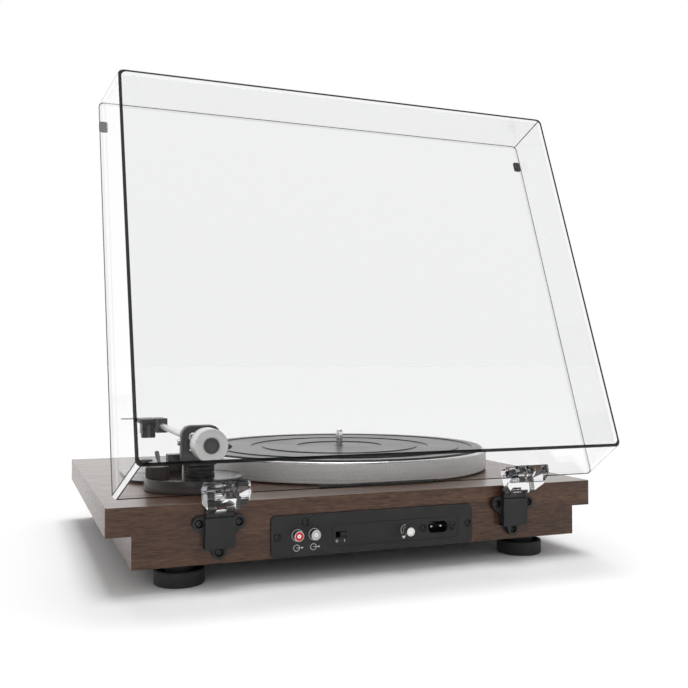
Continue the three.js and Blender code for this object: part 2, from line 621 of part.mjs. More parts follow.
function counterweight() {
  const { radius, front, rear, cap } = WEIGHT;
  const bore = ARM.shaft + GAP;
  const length = rear - front;
  const seat = length - 2.5;
  const profile = [[bore, 0], [radius, 0], [radius, length - 1.6], [radius - 1.6, length],
    [cap + GAP, length], [cap + GAP, seat], [bore, seat], [bore, 0]];
  return place(turned(profile, 32).rotateX(-HALF_TURN / 2), ARM.x, front, ARM.z);
}

function weightCap() {
  const rear = WEIGHT.rear - 0.4;
  return rodY(WEIGHT.cap, rear - 1.6, rear, ARM.x, ARM.z, 32);
}

function antiSkateDial() {
  const { x, y, radius, height, ribs, rib } = DIAL;
  const rim = [];
  for (let i = 0; i < 2 * ribs; i += 1) {
    const angle = (i * HALF_TURN) / ribs;
    const r = radius - (i % 2 ? 0 : rib);
    rim.push([r * Math.cos(angle), r * Math.sin(angle)]);
  }
  return raised(polygon(rim), height, x, y, ARM_BASE.top + GAP);
}

// an arc under the tube, centred on the arm's vertical axis, on a stem in the guide
function liftPlatform() {
  const top = ARM.z - ARM.tube - 0.5;
  const arc = new THREE.Shape();
  const from = 1.43 * HALF_TURN - 0.42;
  const to = 1.5 * HALF_TURN + 0.12;
  arc.absarc(0, 0, LIFT.radius, from, to);
  arc.absarc(0, 0, LIFT.radius - LIFT.rail, to, from, true);
  arc.closePath();
  const rail = raised(arc, 2, ARM.x, ARM.y, top - 2, 8);
  const foot = ARM_BASE.top + 3;
  return join(rail, post(LIFT.stem, top - 1 - foot, LIFT.x, LIFT.y, foot, 16));
}

function cueLever() {
  const rod = rodY(LEVER.radius, -LEVER.length, 0, 0, 0, 16).rotateX(-radians(LEVER.angle));
  const axle = rodX(1.2, 9, -3, 0, 0, 12);
  return place(join(rod, axle, rodX(2.6, 4, 0, 0, 0, 16)), LEVER.x, LEVER.y, LEVER.z);
}

// a stand with a seat for the tube and a high outer cheek that carries the clip
function armRest() {
  const { y, width, length, cheek, hinge } = REST;
  const bottom = ARM_BASE.top + GAP;
  const seat = ARM.z - ARM.tube - 1;
  const cheekX = ARM.x + (width - cheek) / 2;
  const stand = block(width, length, seat - bottom, ARM.x, y, bottom);
  const side = block(cheek, length, hinge + 2 - seat, cheekX, y, seat - 1);
  return cut(join(stand, side), rodY(REST.pin + 0.2, y - length, y + length, cheekX, hinge, 12));
}

// the clip stands open above the cheek and swings inward over the tube
function restClip() {
  const { y, width, length, cheek, hinge, pin } = REST;
  const x = ARM.x + (width - cheek) / 2;
  const clipY = y + length / 2 + GAP + CLIP.depth / 2;
  const low = hinge - 1.5;
  const arm = block(CLIP.width, CLIP.depth, CLIP.height, x, clipY, low);
  const finger = block(CLIP.width, length - 0.5, CLIP.depth, x, clipY - 3, low + CLIP.height - CLIP.depth);
  return join(arm, finger, rodY(pin, y - length / 2, clipY, x, hinge, 12));
}

// ---- controls -----------------------------------------------------------------------------
function speedKnob() {
  const { x, y, radius, height, stem } = KNOB;
  const root = SLAB_Z + 4;
  const bottom = TOP_Z + GAP;
  const top = bottom + height;
  const profile = [[0, root], [stem, root], [stem, bottom], [radius, bottom], [radius, top - 1],
    [radius - 1, top], [0, top]];
  const groove = block(1.2, radius, 1, x, y - radius / 2, top - 0.6);
  return cut(turned(profile, 28, x, y), groove);
}

function startButton() {
  const { x, y, radius, height, stem, travel } = BUTTON;
  const root = SLAB_Z + 6;
  const bottom = TOP_Z + GAP + travel;
  const top = bottom + height;
  const profile = [[0, root], [stem, root], [stem, bottom], [radius, bottom], [radius, top - 0.8],
    [radius - 0.8, top], [0, top]];
  return turned(profile, 20, x, y);
}

// ---- assembly -----------------------------------------------------------------------------
const turntable = new THREE.Group();
const openCover = new THREE.Group();
openCover.position.set(0, HINGE.y, HINGE.z);
openCover.rotation.x = -radians(HINGE.openAngle);
turntable.add(openCover);

function add(name, geometry, surface) {
  const mesh = new THREE.Mesh(geometry, surface);
  mesh.name = name;
  turntable.add(mesh);
}

function addToCover(name, geometry, surface) {
  const mesh = new THREE.Mesh(geometry, surface);
  mesh.name = name;
  mesh.position.set(0, -HINGE.y, -HINGE.z);
  openCover.add(mesh);
}

add('plinth_shell', plinthShell(), walnut);
add('bottom_cover', bottomCover(), blackPlastic);
['rear_right', 'rear_left', 'front_left', 'front_right'].forEach((corner, index) => {
  const angle = (index * HALF_TURN) / 2 + HALF_TURN / 4;
  const x = Math.sign(Math.cos(angle)) * FOOT.x;
  const y = Math.sign(Math.sin(angle)) * FOOT.y;
  add(`foot_${corner}`, foot(x, y), blackRubber);
});

add('platter', platter(), satinAluminium);
add('platter_mat', platterMat(), blackRubber);
add('spindle', spindle(), chrome);
add('bearing_housing', bearingHousing(), brass);
add('motor', motor(), steel);
add('motor_pulley', motorPulley(), brass);
add('drive_belt', driveBelt(), blackRubber);

add('rear_panel', rearPanel(), blackPlastic);
screwSpots().panel.forEach((spot, index) => add(`panel_screw_${index + 1}`, panelScrew(spot), blackPlastic));
screwSpots().inlet.forEach((spot, index) => add(`inlet_screw_${index + 1}`, panelScrew(spot), blackPlastic));
add('rca_socket_red', rcaBarrel(RCA.x[0]), redPlastic);
add('rca_socket_white', rcaBarrel(RCA.x[1]), whitePlastic);
add('switch_housing', switchHousing(), blackPlastic);
add('switch_slider', switchSlider(), blackPlastic);
add('ground_post', groundPost(), steel);
add('ground_nut', groundNut(), chrome);
add('mains_inlet', mainsInlet(), blackPlastic);
add('circuit_board', circuitBoard(), greenBoard);

[['right', HINGE.x], ['left', -HINGE.x]].forEach(([side, x]) => {
  add(`hinge_holder_${side}`, hingeHolder(x), blackPlastic);
  add(`hinge_pin_${side}`, hingePin(x), steel);
  addToCover(`hinge_bracket_${side}`, hingeBracket(x), clearAcrylic);
  addToCover(`cover_bumper_${side}`, coverBumper(Math.sign(x)), blackRubber);
});
addToCover('dust_cover', dustCover(), clearAcrylic);
addToCover('rear_buffer', rearBuffer(), blackRubber);

add('tonearm_base', tonearmBase(), darkGrey);
add('arm_pillar', armPillar(), blackPlastic);
add('arm_yoke', armYoke(), darkGrey);
add('arm_hub', armHub(), darkGrey);
add('arm_tube', armTube(), satinAluminium);
add('headshell', headshell(), darkGrey);
add('finger_lift', fingerLift(), satinAluminium);
add('cartridge', cartridge(), blackPlastic);
add('stylus', stylus(), whitePlastic);
add('tracking_ring', trackingRing(), satinAluminium);
add('counterweight', counterweight(), satinAluminium);
add('counterweight_cap', weightCap(), blackRubber);
add('anti_skate_dial', antiSkateDial(), blackPlastic);
add('lift_platform', liftPlatform(), blackPlastic);
add('cue_lever', cueLever(), blackPlastic);
add('arm_rest', armRest(), blackPlastic);
add('rest_clip', restClip(), blackPlastic);
add('speed_knob', speedKnob(), satinAluminium);
add('start_button', startButton(), darkGrey);

// the origin is at floor level under the middle of the open turntable's outline
const outline = new THREE.Box3().setFromObject(turntable, true);
turntable.position.y = -(outline.min.y + outline.max.y) / 2;

export default turntable;
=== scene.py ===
"""A belt-drive turntable with its clear dust cover open, seen from behind on a plain white floor.

Sizes here are in millimetres from floor level under the centre of the plinth, and become metres in
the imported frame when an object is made. Pieces of the cover are drawn closed, then turned open.
"""
import json
import math

import bmesh
import bpy
from mathutils import Matrix, Vector


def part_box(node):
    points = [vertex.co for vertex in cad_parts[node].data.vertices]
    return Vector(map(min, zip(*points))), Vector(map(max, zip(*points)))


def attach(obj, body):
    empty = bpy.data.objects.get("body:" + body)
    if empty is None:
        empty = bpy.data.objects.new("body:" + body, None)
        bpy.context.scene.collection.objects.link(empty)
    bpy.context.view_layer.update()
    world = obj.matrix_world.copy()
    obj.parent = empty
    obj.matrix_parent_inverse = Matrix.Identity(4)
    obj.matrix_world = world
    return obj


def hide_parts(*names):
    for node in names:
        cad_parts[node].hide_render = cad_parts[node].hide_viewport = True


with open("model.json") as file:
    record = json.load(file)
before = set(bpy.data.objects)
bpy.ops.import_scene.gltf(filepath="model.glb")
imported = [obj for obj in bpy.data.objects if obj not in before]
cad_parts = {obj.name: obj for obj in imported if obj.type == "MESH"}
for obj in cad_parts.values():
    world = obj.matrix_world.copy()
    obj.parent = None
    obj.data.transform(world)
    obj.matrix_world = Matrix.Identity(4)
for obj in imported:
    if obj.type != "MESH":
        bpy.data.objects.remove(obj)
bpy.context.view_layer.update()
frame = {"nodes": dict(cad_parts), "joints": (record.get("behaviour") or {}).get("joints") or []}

# ---- the frame's own measures -------------------------------------------------------------
MM = 0.001
JOINTS = {joint["name"]: joint for joint in frame["joints"]}
plinth_low, plinth_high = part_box("plinth_shell")
ORIGIN = Vector((0, (plinth_low.y + plinth_high.y) / 2, 0))
TO_FRAME = Matrix.Translation(ORIGIN) @ Matrix.Scale(MM, 4)


def node_box(name):
    """A CAD node's lowest and highest corners in the drawing's millimetres."""
    return [(corner - ORIGIN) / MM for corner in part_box(name)]


def node_centre(name):
    low, high = node_box(name)
    return (low + high) / 2


def round_node(name):
    """A round node's lowest and highest corners, its centre and its radius."""
    low, high = node_box(name)
    return low, high, (low + high) / 2, (high.x - low.x) / 2


def joint_point(name):
    return (Vector(JOINTS[name]["pos_m"]) - ORIGIN) / MM


TOP = node_box("plinth_shell")[1].z
HINGE = joint_point("cover_hinge")
OPEN_ANGLE = -math.radians(max(JOINTS["cover_hinge"]["range_deg"]))
OPENED = Matrix.Translation(HINGE) @ Matrix.Rotation(OPEN_ANGLE, 4, "X") @ Matrix.Translation(-HINGE)
QUARTER = math.pi / 2
STAND = Matrix.Rotation(QUARTER, 4, "X")  # stands an outline drawn in x, y up in x, z
TO_REAR = Matrix.Rotation(-QUARTER, 4, "X")  # points a turned shape's axis along +Y
SIDEWAYS = Matrix(((0, 0, 1, 0), (1, 0, 0, 0), (0, 1, 0, 0), (0, 0, 0, 1)))  # profile in y, z along X


# ---- outlines -----------------------------------------------------------------------------
def arc(centre, radius, start, end, steps):
    """Points on an arc, angles in radians."""
    angles = [start + (end - start) * i / steps for i in range(steps + 1)]
    return [(centre[0] + radius * math.cos(a), centre[1] + radius * math.sin(a)) for a in angles]


def rounded_rectangle(width, height, radius, steps=8, centre=(0, 0)):
    """Points round a rectangle with rounded corners, anticlockwise."""
    points = []
    for corner, (side, up) in enumerate([(1, 1), (-1, 1), (-1, -1), (1, -1)]):
        middle = (centre[0] + side * (width / 2 - radius), centre[1] + up * (height / 2 - radius))
        points += arc(middle, radius, corner * QUARTER, (corner + 1) * QUARTER, steps)
    return points


def round_outline(radius, steps=48, centre=(0, 0)):
    return arc(centre, radius, 0, 2 * math.pi, steps)[:-1]


# ---- closed meshes ------------------------------------------------------------------------
def prism(outline, low, high):
    """An outline in x, y raised from low to high."""
    bm = bmesh.new()
    face = bm.faces.new([bm.verts.new((x, y, low)) for x, y in outline])
    top = bmesh.ops.extrude_face_region(bm, geom=[face])["geom"]
    moved = [v for v in top if isinstance(v, bmesh.types.BMVert)]
    bmesh.ops.translate(bm, verts=moved, vec=(0, 0, high - low))
    bmesh.ops.recalc_face_normals(bm, faces=bm.faces)
    return bm


def block(low, high):
    (x0, y0, z0), (x1, y1, z1) = low, high
    return prism([(x0, y0), (x1, y0), (x1, y1), (x0, y1)], z0, z1)


def loft(rings, closed=False):
    """A skin over rings with equal point counts: capped at both ends, or joined round if closed."""
    bm = bmesh.new()
    rows = [[bm.verts.new(point) for point in ring] for ring in rings]
    pairs = list(zip(rows, rows[1:]))
    if closed:
        pairs.append((rows[-1], rows[0]))
    for lower, upper in pairs:
        for i, vert in enumerate(lower):
            j = (i + 1) % len(lower)
            bm.faces.new((vert, lower[j], upper[j], upper[i]))
    if not closed:
        bm.faces.new(reversed(rows[0]))
        bm.faces.new(rows[-1])
    bmesh.ops.recalc_face_normals(bm, faces=bm.faces)
    return bm


def lathe(profile, steps=64):
    """A profile of (radius, height) points turned about Z. It ends on the axis or closes on itself."""
    bm = bmesh.new()
    closed = profile[0] == profile[-1]
    points = profile[:-1] if closed else profile
    rows = []
    for radius, height in points:
        if radius < 1e-6:
            rows.append([bm.verts.new((0, 0, height))])
        else:
            rows.append([bm.verts.new((x, y, height)) for x, y in round_outline(radius, steps)])
    pairs = list(zip(rows, rows[1:]))
    if closed:
        pairs.append((rows[-1], rows[0]))
    for lower, upper in pairs:
        for i in range(steps):
            j = (i + 1) % steps
            ends = [row[k % len(row)] for row, k in ((lower, i), (lower, j), (upper, j), (upper, i))]
            bm.faces.new(list(dict.fromkeys(ends)))
    bmesh.ops.recalc_face_normals(bm, faces=bm.faces)
    return bm


def disc(radius, low, high):
    """The profile of a plain cylinder."""
    return [(0, low), (radius, low), (radius, high), (0, high)]


def tube(inner, outer, low, high):
    """The closed profile of a plain ring."""
    return [(inner, low), (outer, low), (outer, high), (inner, high), (inner, low)]


def rod(radius, low, high, steps=32):
    return lathe(disc(radius, low, high), steps)


def ring_frame(outer, inner, low, high):
    """A frame between two outlines with equal point counts, raised from low to high."""
    levels = ((outer, low), (outer, high), (inner, high), (inner, low))
    return loft([[(x, y, z) for x, y in outline] for outline, z in levels], closed=True)


def dome(radius, base, height, steps=6):
    """Profile points of a rounded end that rises by height from radius to the axis."""
    angles = [QUARTER * i / steps for i in range(steps + 1)]
    points = [(radius * math.cos(a), base + height * math.sin(a)) for a in angles]
    return points[:-1] + [(0, base + height)]


def joined(*meshes):
    """Several closed meshes as one piece's mesh."""
    target = bmesh.new()
    for source in meshes:
        data = bpy.data.meshes.new("part")
        source.to_mesh(data)
        source.free()
        target.from_mesh(data)
        bpy.data.meshes.remove(data)
    return target


def turned(bm, matrix):
    bmesh.ops.transform(bm, matrix=matrix, verts=bm.verts)
    return bm


def moved(bm, x, y, z):
    return turned(bm, Matrix.Translation((x, y, z)))


def standing(outline, y0, y1):
    """An outline in x, z running from y0 to y1."""
    return turned(prism(outline, -y1, -y0), STAND)


def standing_frame(outer, inner, y0, y1):
    return turned(ring_frame(outer, inner, -y1, -y0), STAND)


def profiled(points, x0, x1):
    """A profile in y, z running from x0 to x1."""
    return turned(prism(points, x0, x1), SIDEWAYS)


def rear_facing(profile, centre, steps=32):
    """A turned shape whose axis points along +Y from a centre."""
    return turned(lathe(profile, steps), Matrix.Translation(centre) @ TO_REAR)


def upright(profile, centre, base=0.0, steps=64):
    """A turned shape that stands over a centre in x and y, raised by base."""
    return moved(lathe(profile, steps), centre.x, centre.y, base)


def ribbed(centre, radius, ribs, depth, start=0):
    """A circle's outline with shallow ribs round it, from a rib, or with start 1 from a groove."""
    turns = [(math.pi * i / ribs, radius - depth * ((i + start) % 2)) for i in range(2 * ribs)]
    return [(centre[0] + r * math.cos(a), centre[1] + r * math.sin(a)) for a, r in turns]


def crossbar(radius, axis, left, right, steps=24):
    """A round bar along X, through a point's y and z."""
    return profiled(round_outline(radius, steps, (axis.y, axis.z)), left, right)


# ---- pieces -------------------------------------------------------------------------------
SHARP = math.radians(32)


def finish_surface(obj, bevel, segments):
    """Rounds the sharp edges by bevel millimetres and shades the rest smooth."""
    if bevel:
        rounding = obj.modifiers.new("rounding", "BEVEL")
        rounding.width = bevel * MM
        rounding.segments = segments
        rounding.limit_method = "ANGLE"
        rounding.angle_limit = SHARP
        rounding.harden_normals = True
    obj.data.polygons.foreach_set("use_smooth", [True] * len(obj.data.polygons))
    obj.data.set_sharp_from_angle(angle=SHARP)
    if not bevel:
        shading = obj.modifiers.new("flat_faces", "WEIGHTED_NORMAL")
        shading.keep_sharp = True


def bare_object(name, bm, placed=Matrix.Identity(4)):
    """An object from a mesh drawn in millimetres."""
    bmesh.ops.transform(bm, matrix=TO_FRAME @ placed, verts=bm.verts)
    data = bpy.data.meshes.new(name)
    bm.to_mesh(data)
    bm.free()
    obj = bpy.data.objects.new(name, data)
    bpy.context.scene.collection.objects.link(obj)
    return obj


def carve(obj, cutters, placed=Matrix.Identity(4), operation="DIFFERENCE"):
    """Cuts meshes out of a piece, or joins them to it, or keeps only what they share with it."""
    for index, bm in enumerate(cutters):
        tool = bare_object(f"cutter_{index}", bm, placed)
        modifier = obj.modifiers.new("cut", "BOOLEAN")
        modifier.operation = operation
        modifier.object = tool
        modifier.solver = "EXACT"
        bpy.context.view_layer.update()
        evaluated = obj.evaluated_get(bpy.context.evaluated_depsgraph_get())
        data = bpy.data.meshes.new_from_object(evaluated)
        obj.modifiers.clear()
        old = obj.data
        obj.data = data
        bpy.data.meshes.remove(old)
        bpy.data.objects.remove(tool)


def finish_piece(obj, name, material, body, replaces, bevel, segments, extra_materials=()):
    obj.name = name
    obj.data.name = name
    obj.data.materials.clear()
    for surface in (material, *extra_materials):
        obj.data.materials.append(surface)
    finish_surface(obj, bevel, segments)
    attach(obj, body)
    if replaces:
        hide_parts(*replaces)
    return obj


def piece(name, bm, material, body, replaces=(), placed=Matrix.Identity(4), bevel=0.0, segments=2,
          added=(), cutters=(), extra_materials=()):
    """A visible piece: its mesh, its cuts, its edges and its material, riding on a CAD body."""
    obj = bare_object(name, bm, placed)
    carve(obj, added, placed, "UNION")
    carve(obj, cutters, placed)
    return finish_piece(obj, name, material, body, replaces, bevel, segments, extra_materials)


def refine(node, material, bevel, segments=2):
    """A CAD node that stays: its edges are welded and rounded, and it gets a finished material."""
    obj = frame["nodes"][node]
    weld = obj.modifiers.new("weld", "WELD")
    weld.merge_threshold = 0.002 * MM
    flat = obj.modifiers.new("flat", "DECIMATE")
    flat.decimate_type = "DISSOLVE"
    flat.angle_limit = math.radians(1)
    rounding = obj.modifiers.new("rounding", "BEVEL")
    rounding.width = bevel * MM
    rounding.segments = segments
    rounding.limit_method = "ANGLE"
    rounding.angle_limit = SHARP
    rounding.harden_normals = True
    obj.data.materials.clear()
    obj.data.materials.append(material)
    return obj


# ---- materials ----------------------------------------------------------------------------
def linear(red, green, blue):
    """An 8-bit display colour as linear light."""
    levels = [value / 255 for value in (red, green, blue)]
    return [v / 12.92 if v <= 0.04045 else ((v + 0.055) / 1.055) ** 2.4 for v in levels]


class Paint:
    """A material with one Principled shader and the nodes that drive it."""

    def __init__(self, name, colour, roughness, **values):
        self.material = bpy.data.materials.new(name)
        self.material.use_nodes = True
        self.tree = self.material.node_tree
        self.shader = self.tree.nodes["Principled BSDF"]
        self.shader.inputs["Base Color"].default_value = (*colour, 1)
        self.shader.inputs["Roughness"].default_value = roughness
        for socket, value in values.items():
            self.shader.inputs[socket.replace("_", " ")].default_value = value
        self.coordinates = self.tree.nodes.new("ShaderNodeTexCoord").outputs["Object"]

    def node(self, kind, settings=None, **links):
        """A node with its settings and inputs. Inputs are values or other nodes' outputs."""
        made = self.tree.nodes.new(kind)
        for key, value in (settings or {}).items():
            setattr(made, key, value)
        for key, value in links.items():
            numbered = key[0] == "i" and key[1:].isdigit()
            socket = made.inputs[int(key[1:]) if numbered else key.replace("_", " ")]
            if isinstance(value, bpy.types.NodeSocket):
                self.tree.links.new(value, socket)
            else:
                socket.default_value = value
        return made

    def stretched(self, scale, source=None):
        """Coordinates scaled by one number, or by one for each axis."""
        scales = scale if isinstance(scale, tuple) else (scale, scale, scale)
        return self.node("ShaderNodeMapping", Vector=source or self.coordinates, Scale=scales).outputs[0]

    def noise(self, scale, detail=4.0, source=None, distortion=0.0):
        """Noise with the given number of features per metre along each axis."""
        vector = self.stretched(scale, source)
        made = self.node("ShaderNodeTexNoise", Vector=vector, Scale=1.0, Detail=detail, Distortion=distortion)
        return made.outputs["Fac"]

    def math(self, operation, first, second=0.0):
        return self.node("ShaderNodeMath", {"operation": operation}, i0=first, i1=second).outputs[0]

    def ramp(self, source, stops):
        """Colours or greys by position along a ramp."""
        made = self.node("ShaderNodeValToRGB", Fac=source)
        elements = made.color_ramp.elements
        while len(elements) < len(stops):
            elements.new(0.5)
        for element, (position, colour) in zip(elements, stops):
            element.position = position
            element.color = (*colour, 1) if hasattr(colour, "__len__") else (colour, colour, colour, 1)
        return made.outputs["Color"]

    def mix(self, factor, first, second, mode="MIX"):
        made = self.node("ShaderNodeMix", {"data_type": "RGBA", "blend_type": mode}, i0=factor)
        sockets = [s for s in made.inputs if s.type == "RGBA"]
        for socket, value in zip(sockets, (first, second)):
            if isinstance(value, bpy.types.NodeSocket):
                self.tree.links.new(value, socket)
            else:
                socket.default_value = (*value, 1)
        return [s for s in made.outputs if s.type == "RGBA"][0]

    def drive(self, socket, source):
        self.tree.links.new(source, self.shader.inputs[socket])
        return self

    def bump(self, source, depth, strength=1.0):
        """Raises the surface by up to depth millimetres where source is bright."""
        made = self.node("ShaderNodeBump", Strength=strength, Distance=depth * MM, Height=source)
        return self.drive("Normal", made.outputs["Normal"])

    def worn(self, low, high, scale=60.0):
        """Roughness that wanders between low and high in soft patches."""
        patches = self.noise(scale, 5.0)
        return self.drive("Roughness", self.ramp(patches, [(0.3, low), (0.7, high)]))


def walnut():
    """Satin veneer with its grain along X, and along Y on the end faces."""
    paint = Paint("walnut_veneer", linear(84, 58, 42), 0.36, Specular_IOR_Level=0.1, Coat_Weight=0.6,
                  Coat_Roughness=0.22)
    normal = paint.node("ShaderNodeNewGeometry").outputs["Normal"]
    ends = paint.node("ShaderNodeSeparateXYZ", Vector=normal).outputs["X"]
    is_end = paint.math("GREATER_THAN", paint.math("ABSOLUTE", ends), 0.7)
    parts = paint.node("ShaderNodeSeparateXYZ", Vector=paint.coordinates).outputs
    swapped = paint.node("ShaderNodeCombineXYZ", X=parts["Y"], Y=parts["X"], Z=parts["Z"]).outputs[0]
    along = paint.mix(is_end, paint.coordinates, swapped)
    figure = paint.noise((4, 45, 60), 3.0, along, 1.0)
    streaks = paint.noise((75, 700, 700), 5.0, along, 0.5)
    pores = paint.noise((150, 1700, 1700), 2.0, along)
    browns = [(0.25, linear(77, 53, 37)), (0.5, linear(92, 64, 45)), (0.78, linear(111, 80, 58))]
    shades = [(0.3, linear(150, 138, 132)), (0.5, linear(220, 214, 210)), (0.72, (1.0, 1.0, 1.0))]
    tone = paint.ramp(figure, browns)
    lines = paint.ramp(streaks, shades)
    dots = paint.ramp(pores, [(0.34, 0.62), (0.46, 1.0)])
    paint.drive("Base Color", paint.mix(1.0, paint.mix(1.0, tone, lines, "MULTIPLY"), dots, "MULTIPLY"))
    paint.drive("Roughness", paint.ramp(streaks, [(0.3, 0.44), (0.7, 0.34)]))
    paint.bump(paint.mix(0.5, dots, lines, "MULTIPLY"), 0.05, 0.5)
    return paint.material


def textured_plastic(name, colour, roughness=0.5, grain=0.05):
    """Moulded plastic with a fine spark-eroded texture."""
    paint = Paint(name, colour, roughness)
    texture = paint.noise(2600, 2.0)
    shade = paint.noise(35, 3.0)
    lighter = [min(1.0, value * 1.35) for value in colour]
    paint.drive("Base Color", paint.ramp(shade, [(0.3, colour), (0.75, lighter)]))
    paint.worn(roughness - 0.06, roughness + 0.1)
    return paint.bump(texture, grain, 0.5).material


def gloss_plastic(name, colour, roughness=0.16):
    paint = Paint(name, colour, roughness)
    paint.worn(roughness - 0.05, roughness + 0.1, 90.0)
    return paint.bump(paint.noise(300, 2.0), 0.02, 0.3).material


def rubber(name="black_rubber", colour=(0.011, 0.011, 0.012)):
    paint = Paint(name, colour, 0.7)
    dust = paint.noise(55, 6.0)
    dusty = [value * 2.2 for value in colour]
    paint.drive("Base Color", paint.ramp(dust, [(0.4, colour), (0.8, dusty)]))
    paint.worn(0.6, 0.85)
    return paint.bump(paint.noise(1800, 3.0), 0.04, 0.5).material


def cast_aluminium():
    """Satin metal with the fine bright and dark grains of a blasted casting."""
    paint = Paint("cast_aluminium", (0.6, 0.6, 0.59), 0.58, Metallic=0.6)
    grains = paint.noise(1500, 3.0)
    paint.drive("Base Color", paint.ramp(grains, [(0.3, (0.58, 0.58, 0.57)), (0.7, (0.84, 0.84, 0.83))]))
    paint.drive("Roughness", paint.ramp(grains, [(0.3, 0.66), (0.7, 0.52)]))
    return paint.bump(grains, 0.06, 0.45).material


def machined(name, colour, roughness, axis_scale, anisotropy=0.0):
    """Turned or drawn metal: fine lines across the stretch given by axis_scale."""
    paint = Paint(name, colour, roughness, Metallic=1.0, Anisotropic=anisotropy)
    lines = paint.noise(axis_scale, 3.0)
    darker = [value * 0.82 for value in colour]
    paint.drive("Base Color", paint.ramp(lines, [(0.3, darker), (0.7, colour)]))
    paint.drive("Roughness", paint.ramp(lines, [(0.3, roughness + 0.08), (0.7, max(0.03, roughness - 0.05))]))
    return paint.bump(lines, 0.015, 0.4).material


def silver_paint():
    """Pale satin lacquer of the counterweight and the small trim."""
    paint = Paint("silver_lacquer", linear(215, 215, 213), 0.32, Metallic=0.2, Coat_Weight=0.3)
    flakes = paint.noise(2400, 2.0)
    pale = paint.ramp(flakes, [(0.35, linear(204, 204, 202)), (0.65, linear(224, 224, 222))])
    paint.drive("Base Color", pale)
    paint.worn(0.26, 0.4)
    return paint.bump(flakes, 0.02, 0.3).material


def dark_lacquer():
    """Dark grey satin paint over metal."""
    paint = Paint("dark_grey_lacquer", linear(62, 62, 63), 0.4)
    flakes = paint.noise(2200, 3.0)
    paint.drive("Base Color", paint.ramp(flakes, [(0.3, linear(54, 54, 56)), (0.7, linear(72, 72, 73))]))
    paint.worn(0.34, 0.5)
    return paint.bump(flakes, 0.03, 0.4).material


def pane(name, tint, gloss=1.0, painted_highlight_share=0.0):
    """A polished clear sheet: it tints what is behind it and mirrors more at a low angle."""
    paint = Paint(name, (1.0, 1.0, 1.0), 0.02)
    facing = paint.node("ShaderNodeLayerWeight", Blend=0.5).outputs["Facing"]
    mirror = paint.math("MULTIPLY", paint.math("ADD", paint.math("POWER", facing, 5.0), 0.04), gloss)
    clear = paint.node("ShaderNodeBsdfTransparent", Color=(*tint, 1)).outputs[0]
    shine = paint.node("ShaderNodeBsdfGlossy", Roughness=0.02).outputs[0]
    mixed = paint.node("ShaderNodeMixShader", i0=mirror, i1=clear, i2=shine).outputs[0]
    # A share of flat white diffuse paints a highlight onto the sheet.
    if painted_highlight_share:
        glow = paint.node("ShaderNodeBsdfDiffuse", Color=(0.96, 0.96, 0.96, 1)).outputs[0]
        mixed = paint.node("ShaderNodeMixShader", i0=painted_highlight_share, i1=mixed, i2=glow).outputs[0]
    paint.tree.nodes.remove(paint.shader)
    paint.tree.links.new(mixed, paint.tree.nodes["Material Output"].inputs["Surface"])
    return paint.material


def moulded_clear(name, tint):
    """Clear moulded plastic that bends the light, and lets lamps shine through."""
    paint = Paint(name, tint, 0.03, Transmission_Weight=1.0, IOR=1.18)
    output = paint.tree.nodes["Material Output"]
    path = paint.node("ShaderNodeLightPath").outputs["Is Shadow Ray"]
    clear = paint.node("ShaderNodeBsdfTransparent", Color=(*tint, 1))
    mixed = paint.node("ShaderNodeMixShader", Fac=path)
    paint.tree.links.new(paint.shader.outputs["BSDF"], mixed.inputs[1])
    paint.tree.links.new(clear.outputs["BSDF"], mixed.inputs[2])
    paint.tree.links.new(mixed.outputs[0], output.inputs["Surface"])
    paint.bump(paint.noise(60, 2.0), 0.05, 0.3)
    return paint.material


def mat_rubber():
    """The record mat: smooth dark rubber with a faint moulding bloom."""
    paint = Paint("record_mat", (0.02, 0.02, 0.021), 0.3, Specular_IOR_Level=0.28)
    bloom = paint.noise(18, 5.0)
    darks = [(0.3, (0.018, 0.018, 0.019)), (0.75, (0.032, 0.032, 0.033))]
    paint.drive("Base Color", paint.ramp(bloom, darks))
    paint.drive("Roughness", paint.ramp(bloom, [(0.3, 0.28), (0.75, 0.38)]))
    return paint.bump(paint.noise(900, 3.0), 0.015, 0.3).material


def solder_mask():
    """A circuit board: green mask with paler copper tracks under it."""
    paint = Paint("circuit_board", (0.012, 0.1, 0.04), 0.35)
    bricks = paint.node("ShaderNodeTexBrick", Vector=paint.stretched(180), Scale=1.0)
    tracks = bricks.outputs["Fac"]
    paint.drive("Base Color", paint.mix(tracks, (0.012, 0.1, 0.04), (0.05, 0.22, 0.08)))
    return paint.bump(tracks, 0.05, 0.5).material


def print_ink():
    """The white ink of the panel's printed marks."""
    paint = Paint("white_print", linear(225, 225, 225), 0.55)
    whites = [(0.3, linear(190, 190, 190)), (0.6, linear(232, 232, 232))]
    paint.drive("Base Color", paint.ramp(paint.noise(900), whites))
    return paint.material


WALNUT = walnut()
BLACK = textured_plastic("black_plastic", linear(22, 22, 23))
DARK_PLASTIC = textured_plastic("dark_plastic", linear(24, 24, 25), 0.4)
GLOSS_BLACK = gloss_plastic("gloss_black", linear(22, 22, 23))
RUBBER = rubber()
ALUMINIUM = cast_aluminium()
BRIGHT = machined("bright_turned_metal", (0.8, 0.8, 0.79), 0.2, (60, 900, 900))
CHROME = machined("chrome", (0.86, 0.86, 0.87), 0.08, (40, 40, 1200))
NICKEL = machined("nickel", (0.82, 0.81, 0.79), 0.16, (900, 60, 900))
STEEL = machined("steel", (0.5, 0.5, 0.52), 0.3, (60, 900, 900))
BRASS = machined("brass", (0.62, 0.44, 0.18), 0.25, (500, 500, 60))
BLACK_METAL = machined("black_screws", (0.06, 0.06, 0.062), 0.35, (900, 900, 900))
TUBE_METAL = machined("tube_metal", (0.72, 0.72, 0.71), 0.34, (500, 40, 500))
DARK_METAL = machined("ring_metal", (0.3, 0.3, 0.3), 0.36, (500, 40, 500))
SILVER = silver_paint()
LACQUER = dark_lacquer()
